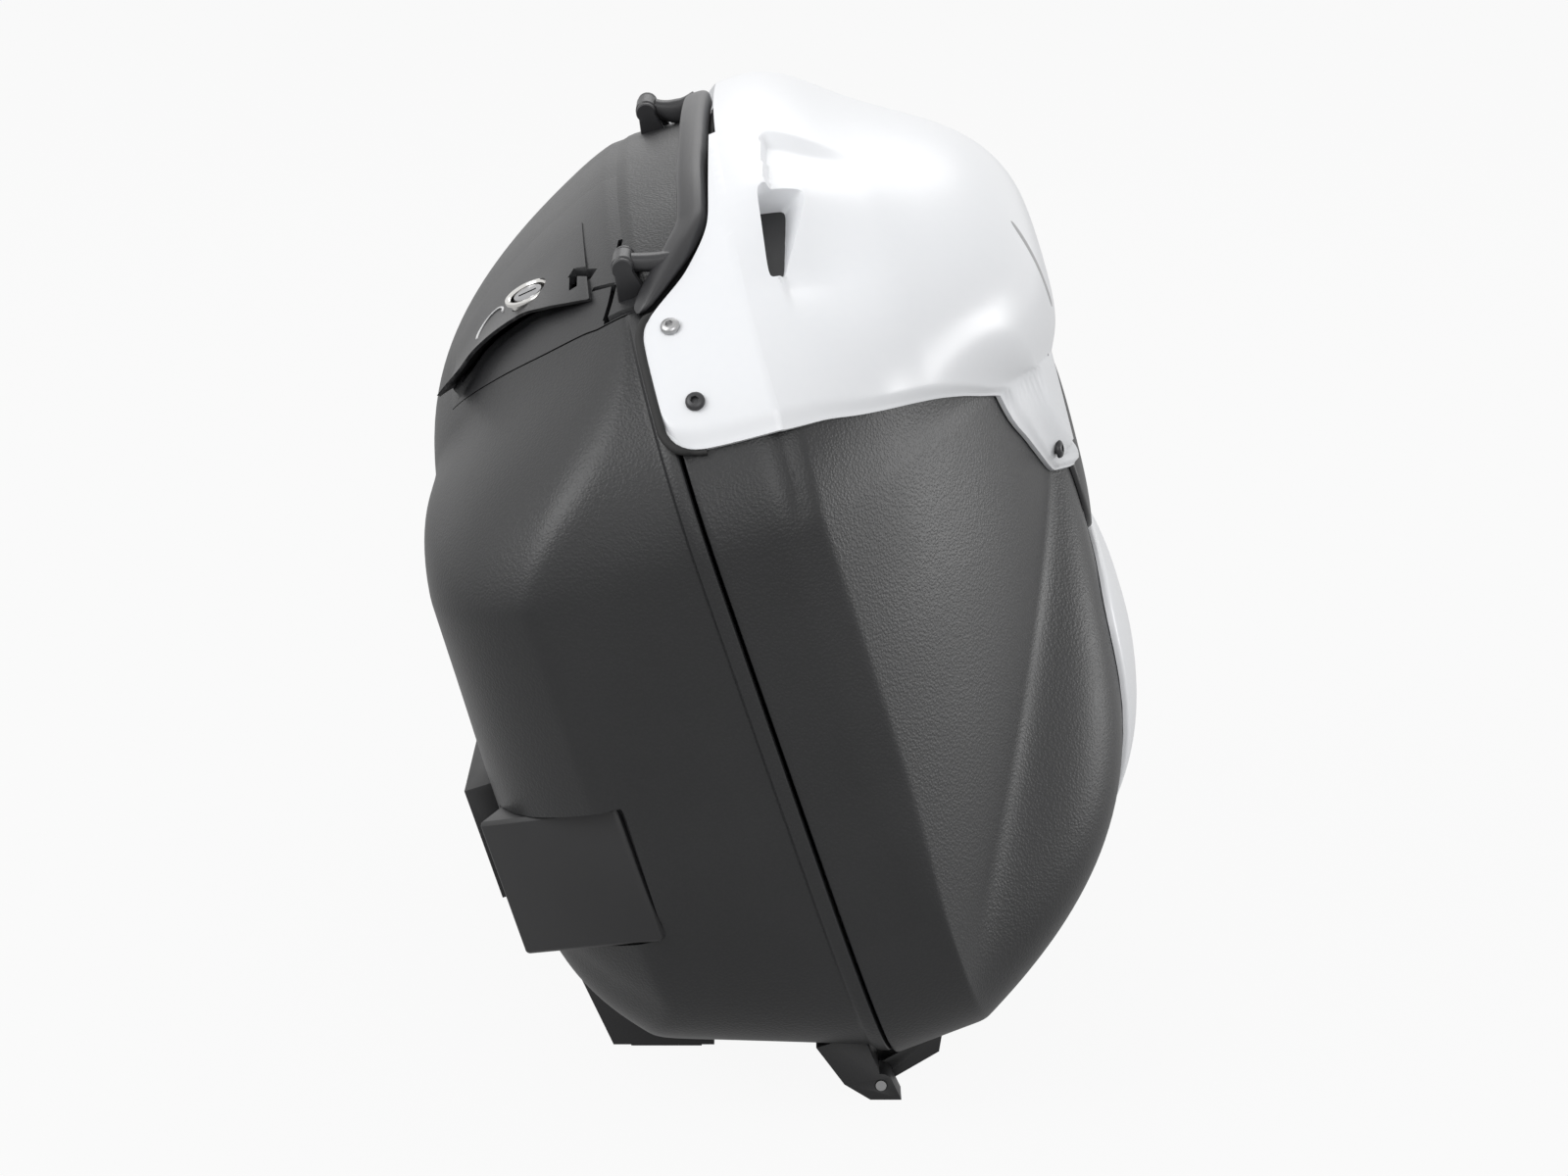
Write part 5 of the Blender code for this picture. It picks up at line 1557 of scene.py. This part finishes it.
    def build(self) -> None:
        """Make the cover, its rubber edge, its screws, and painted shade in its window and on its slots."""
        angle, q = self.places(self.steps)
        outer = FORM.raised(FORM.lid_over, angle, q, self.height(angle, q))
        over = 1.0 - ease(0.0, self.hem[1], FORM.lid_band * q / FORM.lid_band_q)
        inner = FORM.raised(FORM.lid_over, angle, q, FORM.gap + self.hem[0] * over)
        cover = Skin().slab(outer, inner).build("top_cover_skin")
        combine(cover, [self.window()])
        soften(cover, self.edge_round, 3)
        dress(cover, Finishes.PAINT, Body.LID, Slot.WHITE, "top_cover", crease=30.0)

        # Darker, matte plate just over the lid at the window's floor: painted shade of the window's hollow.
        t, r = np.meshgrid(np.linspace(*self.floor_t, 24), np.linspace(*self.floor_q, 12), indexing="ij")
        shade_plate = Skin().slab(*(FORM.raised(FORM.lid, t, r, lift) for lift in self.floor_lift))
        dress(shade_plate.build("grip_window_painted_shade"), Finishes.WINDOW_SHADE, Body.LID, Slot.BLACK)

        # The slots are not cut into the cover: grey strips lie on it instead, and their grey is painted shade
        # of the slots' recesses.
        for name, ends, width in self.slots:
            t, r = (np.linspace(*pair, 48) for pair in zip(*ends))
            line = FORM.raised(FORM.lid, t, r, self.height(t, r) - self.slot_size[1])
            taper = np.sqrt(np.clip(1.0 - np.linspace(-1.0, 1.0, 48) ** 8, 0.02, 1.0))
            upright = FORM.normal(FORM.lid, t, r)
            shade_strip = swept(line, width * taper, self.slot_size[0] * taper, 16, upright=upright)
            dress(shade_strip.build(name), Finishes.SLOT_SHADE, Body.LID, Slot.BLACK)

        line, radius = self.edge_line()
        trim = swept(line, radius, radius, 16)
        dress(trim.build("cover_trim_skin"), Finishes.RUBBER, Body.LID, Slot.RUBBER, "cover_trim")

        spots = [(spot_t, spot_q) for near_t, spot_q in self.screws for spot_t in (near_t, math.pi - near_t)]
        for number, spot in enumerate(spots, 1):
            seat = FORM.raised(FORM.lid, *spot, self.height(*spot) + FORM.gap / 2)
            axis = FORM.normal(FORM.lid, *spot)
            made = Screw().build(f"cover_screw_{number}_fine", seat, axis, self.shank)
            finish, slot = (Finishes.STEEL, Slot.STEEL) if number == 1 else (Finishes.DARK_STEEL, Slot.DARK)
            dress(made, finish, Body.LID, slot, f"cover_screw_{number}")


@dataclass(frozen=True)
class HandleBay:
    """Grained panel from the tray's rim over the lid's edge, under the handle."""

    reach_t: Pair = (1.03, 2.40)
    start_x: float = -0.0028
    edge_gap: float = 0.0008
    top_lifts: Pair = (0.00015, 0.00075)
    top_end: float = 0.0005
    bottom_lifts: Pair = (-0.0004, 0.0007)
    bottom_x: Pair = (-0.0016, -0.0008)

    def build(self, cover: TopCover) -> None:
        """Make the panel: a thin plate that rises from the tray and runs to the cover's rubber edge.

        Args:
            cover: The cover whose edge it follows.
        """
        t, share = np.meshgrid(np.linspace(*self.reach_t, 160), np.linspace(0.0, 1.0, 40), indexing="ij")
        end = cover.edge_x(t) - 2 * cover.trim_radius[1] - self.edge_gap
        x = between(self.start_x, end, share)
        base, out = FORM.over_rim(t, x), FORM.rim_out(t)
        top = self.top_lifts[0] + self.top_lifts[1] * ease(self.start_x, self.top_end, x)
        bottom = self.bottom_lifts[0] + self.bottom_lifts[1] * ease(*self.bottom_x, x)
        panel = Skin().slab(*(base + lift[..., None] * out for lift in (top, bottom)))
        made = panel.build("handle_bay_panel")
        dress(made, Finishes.SHELL, Body.CASE, Slot.GRAIN, crease=30.0)


@dataclass(frozen=True)
class CarryHandle:
    """Fold-up carrying handle, which lies along the cover's edge."""

    near_y: float = -0.148
    far_y: float = 0.030
    axis_x: Pair = (-0.003, 0.011)
    axis_lift: float = 0.0105
    line_y: Row = (-0.167, -0.141, -0.128, -0.095, -0.050, 0.020, 0.040)
    line_x: Row = (-0.0022, 0.0204, 0.0260, 0.0286, 0.0316, 0.0330, 0.0330)
    size_y: Row = (-0.167, -0.157, -0.141, 0.020, 0.040)
    half_widths: Row = (0.0040, 0.0054, 0.0058, 0.0058, 0.0048)
    half_heights: Row = (0.0016, 0.0030, 0.0043, 0.0046, 0.0040)
    clearance: float = 0.0022
    eye_radius: float = 0.0045
    eye_width: float = 0.010
    pin_radius: float = 0.0020
    pin_inset: float = 0.0003
    cheek: Pair = (0.0056, 0.0080)
    arm_start: float = 0.0034
    arm_deep: Pair = (0.0036, 0.0052)
    arm_sag: Pair = (0.0006, 0.0030)
    arm_gap: float = 0.0030
    arm_half: float = 0.0044
    bar_power: float = 0.66
    bar_slope: float = 0.02
    end_power: int = 60
    cheek_radius: float = 0.0042
    cheek_foot: float = 0.0062
    cheek_depth: float = 0.003
    cheek_edges: Pair = (0.0004, 0.0006)
    cheek_shares: Row = (0.94, 1.0, 1.0, 0.90)
    eye_edge: float = 0.0006
    stations: int = 160

    def eyes(self) -> tuple[Array, Array]:
        """Middles of the near eye and the far eye."""
        return tuple(np.array([x, y, FORM.top(y) + self.axis_lift])
                     for x, y in zip(self.axis_x, (self.near_y, self.far_y)))

    def line(self, y: Array) -> tuple[Array, Array, Array]:
        """Course of the bar.

        Args:
            y: Places along the case.

        Returns:
            Points of its middle, its half widths and its half heights.
        """
        x = smooth_line(y, self.line_y, self.line_x)
        wide, high = (smooth_line(y, self.size_y, sizes) for sizes in (self.half_widths, self.half_heights))
        return np.stack([x, y, FORM.top(y) - self.bar_slope * x + self.clearance + high], -1), wide, high

    def socket(self, end: str, eye: Array, axis: Array) -> None:
        """Make the two rounded cheeks that hold an eye, and the pin through them.

        Args:
            end: Name of the end.
            eye: Middle of the eye.
            axis: Direction of the pin.
        """
        low = FORM.top(eye[1]) - eye[2] - self.cheek_depth
        across = unit(np.cross(axis, (0.0, 0.0, 1.0)))
        place, skin = frame_at(eye, [across, axis, np.cross(across, axis)]), Skin()
        turn = np.linspace(-0.15 * math.pi, 1.15 * math.pi, 24)
        wide = np.concatenate([[self.cheek_foot], self.cheek_radius * np.cos(turn), [-self.cheek_foot]])
        high = np.concatenate([[low], self.cheek_radius * np.sin(turn), [low]])
        for side in (-1.0, 1.0):
            inside, outside = (side * reach for reach in self.cheek)
            first, last = (side * edge for edge in self.cheek_edges)
            along = np.array([inside, inside + first, outside - last, outside])
            rings = np.stack([np.outer(self.cheek_shares, wide), np.repeat(along[:, None], len(wide), axis=1),
                              np.outer(self.cheek_shares, high)], -1)
            skin.quads_from(Skin().tube(placed(rings, place)))
        node = f"handle_socket_{end}"
        dress(skin.build(f"{node}_fine"), Finishes.HANDLE, Body.CASE, Slot.BLACK, node)
        half = self.cheek[1] - self.pin_inset
        node = f"handle_pin_{end}"
        pin = lathe([(-half, self.pin_radius), (half, self.pin_radius)], axis_place(eye, axis), 32)
        dress(pin.build(f"{node}_fine"), Finishes.DARK_STEEL, Body.CASE, Slot.STEEL, node)

    def build(self) -> None:
        """Make the handle: the bar along the cover, and an arm from each of its ends to its eye."""
        share = np.linspace(0.0, 1.0, self.stations)
        line, wide, high = self.line(between(self.line_y[0], self.line_y[-1], share))
        ends = np.sqrt(np.clip(1.0 - np.abs(2.0 * share - 1.0) ** self.end_power, 0.03, 1.0))
        made = swept(line, wide * ends, high * ends, 40, self.bar_power).build("carry_handle_skin")
        near, far = self.eyes()
        axis = unit(far - near)
        half, edge = self.eye_width / 2, self.eye_edge
        for number, eye in enumerate((near, far)):
            place = axis_place(eye, axis)
            body = lathe([(-half, self.eye_radius - edge), (edge - half, self.eye_radius),
                          (half - edge, self.eye_radius), (half, self.eye_radius - edge)], place)
            root = self.line(np.array([eye[1]]))[0][0]
            start = eye + unit(root - eye) * self.arm_gap
            step = np.linspace(0.0, 1.0, 24)
            sag = np.outer(np.sin(step * math.pi), (0.0, 0.0, -self.arm_sag[number]))
            deep = between(self.arm_start, self.arm_deep[number], ease(0.0, 0.5, step))
            arm = swept(between(start, root, step[:, None]) + sag, self.arm_half, deep, 32, self.bar_power)
            combine(made, [arm.build(f"arm_{number}")], "UNION")
            combine(made, [body.build(f"eye_{number}")], "UNION")
        for number, eye in enumerate((near, far)):
            self.socket(("near", "far")[number], eye, axis)
            bore = lathe([(-3 * half, self.pin_radius + FORM.gap), (3 * half, self.pin_radius + FORM.gap)],
                         axis_place(eye, axis))
            combine(made, [bore.build(f"bore_{number}")])
        weld(made.data, WELD_CUT)
        dress(made, Finishes.HANDLE, Body.HANDLE, Slot.BLACK, "carry_handle", crease=40.0)


@dataclass(frozen=True)
class FacePanel:
    """Crowned panel with rounded corners on the lid's outer face."""

    node: str
    centre_u: float
    half_length: float
    half_height: float
    power: float
    edge: float
    crown: float
    rounding: float = 0.0014
    under_shares: Row = (0.05, 0.5, 1.0)
    last_share: float = 0.02
    round_rows: int = 6
    crown_rows: int = 26

    def build(self, finish: Finish, slot: Slot) -> None:
        """Make the panel: a squared ellipse whose height grows inwards with the cube of its share.

        Args:
            finish: Finish of the panel.
            slot: Slot of the record.
        """
        turn = np.linspace(0.0, 2.0 * math.pi, 180, endpoint=False)
        along = self.half_length * signed_power(np.cos(turn), 2.0 / self.power)
        up = self.half_height * signed_power(np.sin(turn), 2.0 / self.power)
        bend = np.linspace(0.0, math.pi / 2, self.round_rows)
        edge = 1.0 - self.rounding / self.half_height * (1.0 - np.cos(bend))
        crown = np.linspace(edge[-1], self.last_share, self.crown_rows)[1:]
        share = np.concatenate([self.under_shares, edge, crown])
        height = self.edge + self.crown * (1.0 - share ** 3)
        start = len(self.under_shares)
        height[:start] = FORM.gap
        height[start:start + self.round_rows] -= self.rounding * (1.0 - np.sin(bend))
        rows = FORM.lid_face(np.outer(share, along), self.centre_u + np.outer(share, up))
        rows[..., 0] += height[:, None]
        dress(Skin().tube(rows).build(f"{self.node}_skin"), finish, Body.LID, slot, self.node)


class Fittings:
    """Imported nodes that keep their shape: fittings with softened edges, and inner pieces with a finish."""

    soft: tuple[tuple[str, float, Body], ...] = (
        ("hinge_bracket_near", 0.0008, Body.CASE), ("hinge_bracket_far", 0.0008, Body.CASE),
        ("hinge_leaf_near", 0.0005, Body.LID), ("hinge_leaf_far", 0.0005, Body.LID),
        ("foot_runner", 0.0012, Body.CASE), ("carrier_rail", 0.0010, Body.CASE),
        ("mount_block_near", 0.0012, Body.CASE), ("mount_block_far", 0.0012, Body.CASE))
    plain: tuple[tuple[str, Finish], ...] = (
        ("foot_pad_near", Finishes.RUBBER), ("foot_pad_far", Finishes.RUBBER), ("rim_seal", Finishes.RUBBER),
        ("catch_guide", Finishes.FITTING), ("bolt_guide", Finishes.FITTING),
        ("lid_catch", Finishes.DARK_STEEL), ("lid_keeper", Finishes.DARK_STEEL),
        ("lock_cam", Finishes.STEEL), ("lock_bolt", Finishes.STEEL),
        ("hinge_pin_near", Finishes.STEEL), ("hinge_pin_far", Finishes.STEEL),
        ("rail_screw_1", Finishes.STEEL), ("rail_screw_2", Finishes.STEEL),
        ("rail_screw_3", Finishes.STEEL), ("rail_screw_4", Finishes.STEEL))

    def build(self) -> None:
        """Soften the outer fittings' edges on merged copies, and finish the inner pieces."""
        for node, width, body in self.soft:
            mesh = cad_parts[node].data.copy()
            weld(mesh, WELD_CAD, flat=1.0)
            made = soften(linked(f"{node}_soft", mesh), width, 2, 30.0)
            dress(made, Finishes.FITTING, body, Slot.BLACK, node)
        for node, finish in self.plain:
            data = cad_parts[node].data
            data.materials.clear()
            data.materials.append(finish.material())


@dataclass(frozen=True)
class Studio:
    """Pale floor, soft lamps and the camera of the picture.

    Each lamp has its name, its place, the point that it is aimed at, the length of its sides and its watts.
    """

    floor_reach: float = 9.0
    floor_tones: Pair = (0.36, 0.38)
    floor_white: Pair = (0.93, 0.40)
    world_levels: Pair = (0.62, 1.0)
    lamps: tuple[tuple[str, Triple, Triple, float, float], ...] = (
        ("key_lamp", (-1.50, -0.80, 1.45), (0.0, 0.0, 0.25), 1.2, 19.0),
        ("front_lamp", (0.45, -1.90, 1.10), (0.0, -0.1, 0.25), 1.0, 9.0),
        ("side_lamp", (1.85, 0.30, 0.45), (0.0, -0.1, 0.2), 0.6, 8.0),
        ("back_lamp", (0.1, 1.7, 1.9), (0.0, 0.0, 0.25), 1.4, 10.0))
    sensor_width: float = 36.0
    focal_share: float = 4300.0 / 1600.0
    tilt: float = math.radians(15.0)
    away: float = 1.85
    target: Triple = (-0.0016, 0.03, 0.163)

    def white_share(self, graph: Graph, seen: float, mirrored: float) -> Term:
        """Share of plain white that each kind of ray gets.

        Args:
            graph: Material or world that it is for.
            seen: Share for the rays of the camera.
            mirrored: Share for those that come off or through a piece.

        Returns:
            The share.
        """
        camera, glossy, through = (graph.node("ShaderNodeLightPath", output=f"Is {kind} Ray")
                                   for kind in ("Camera", "Glossy", "Transmission"))
        return camera * seen + (glossy + through) * mirrored

    def floor(self) -> None:
        """White floor that looks white to the camera and keeps the case's shadow."""
        mesh = bpy.data.meshes.new("studio_floor")
        reach = self.floor_reach
        corners = [(-reach, -reach, 0.0), (reach, -reach, 0.0), (reach, reach, 0.0), (-reach, reach, 0.0)]
        mesh.from_pydata(corners, [], [(0, 1, 2, 3)])
        material = bpy.data.materials.new("studio_floor")
        graph = Graph(material)
        tones = ((tone, tone, tone) for tone in self.floor_tones)
        tone = graph.mix(graph.noise(graph.coordinates(), 3.0), *tones)
        lit = graph.node("ShaderNodeBsdfDiffuse", inputs={"Color": tone})
        white = graph.node("ShaderNodeEmission", inputs={"Color": (1.0, 1.0, 1.0, 1.0), "Strength": 1.0})
        graph.node("ShaderNodeOutputMaterial", inputs={"Surface": graph.node(
            "ShaderNodeMixShader", inputs={0: self.white_share(graph, *self.floor_white), 1: lit, 2: white})})
        mesh.materials.append(material)
        linked("studio_floor", mesh)

    def world(self) -> None:
        """Even grey light all round, which looks white where it is seen or mirrored."""
        world = bpy.data.worlds.new("studio")
        bpy.context.scene.world = world
        graph = Graph(world)
        light, white = (graph.node("ShaderNodeBackground",
                                   inputs={"Color": (1.0, 1.0, 1.0, 1.0), "Strength": level})
                        for level in self.world_levels)
        graph.node("ShaderNodeOutputWorld", inputs={"Surface": graph.node(
            "ShaderNodeMixShader", inputs={0: self.white_share(graph, 1.0, 1.0), 1: light, 2: white})})

    def aim(self, made: Object, place: Vector, direction: Vector) -> None:
        """Put a lamp or the camera in its place and point it.

        Args:
            made: The lamp or the camera.
            place: Where it goes.
            direction: Where it looks.
        """
        made.location = place
        made.rotation_mode = "QUATERNION"
        made.rotation_quaternion = direction.to_track_quat("-Z", "Y")

    def build(self) -> None:
        """Set the stage, with the camera looking along the case from above its near end."""
        bpy.context.scene.view_settings.view_transform = "Standard"
        self.floor()
        self.world()
        for name, place, point, size, power in self.lamps:
            data = bpy.data.lights.new(name, "AREA")
            data.size, data.energy = size, power
            self.aim(linked(name, data), Vector(place), Vector(point) - Vector(place))
        data = bpy.data.cameras.new("picture")
        data.sensor_width, data.lens = self.sensor_width, self.sensor_width * self.focal_share
        camera = linked("picture", data)
        back = Vector((0.0, -math.cos(self.tilt), math.sin(self.tilt)))
        self.aim(camera, Vector(self.target) + back * self.away, -back)
        bpy.context.scene.camera = camera


def main() -> None:
    """Build the case piece by piece."""
    logging.basicConfig(level=logging.INFO, format="%(name)s %(message)s")
    Studio().build()
    openings = Latch().build()
    TrayShell().build(openings)
    LidShell().build()
    cover = TopCover()
    cover.build()
    HandleBay().build(cover)
    CarryHandle().build()
    FacePanel("outer_panel", 0.078, 0.074, 0.059, 4.0, 0.0030, 0.0060).build(Finishes.PAINT, Slot.WHITE)
    FacePanel("side_strip", 0.181, 0.046, 0.040, 3.0, 0.0022, 0.0030).build(Finishes.FITTING, Slot.BLACK)
    Fittings().build()


if __name__ == "__main__":
    main()
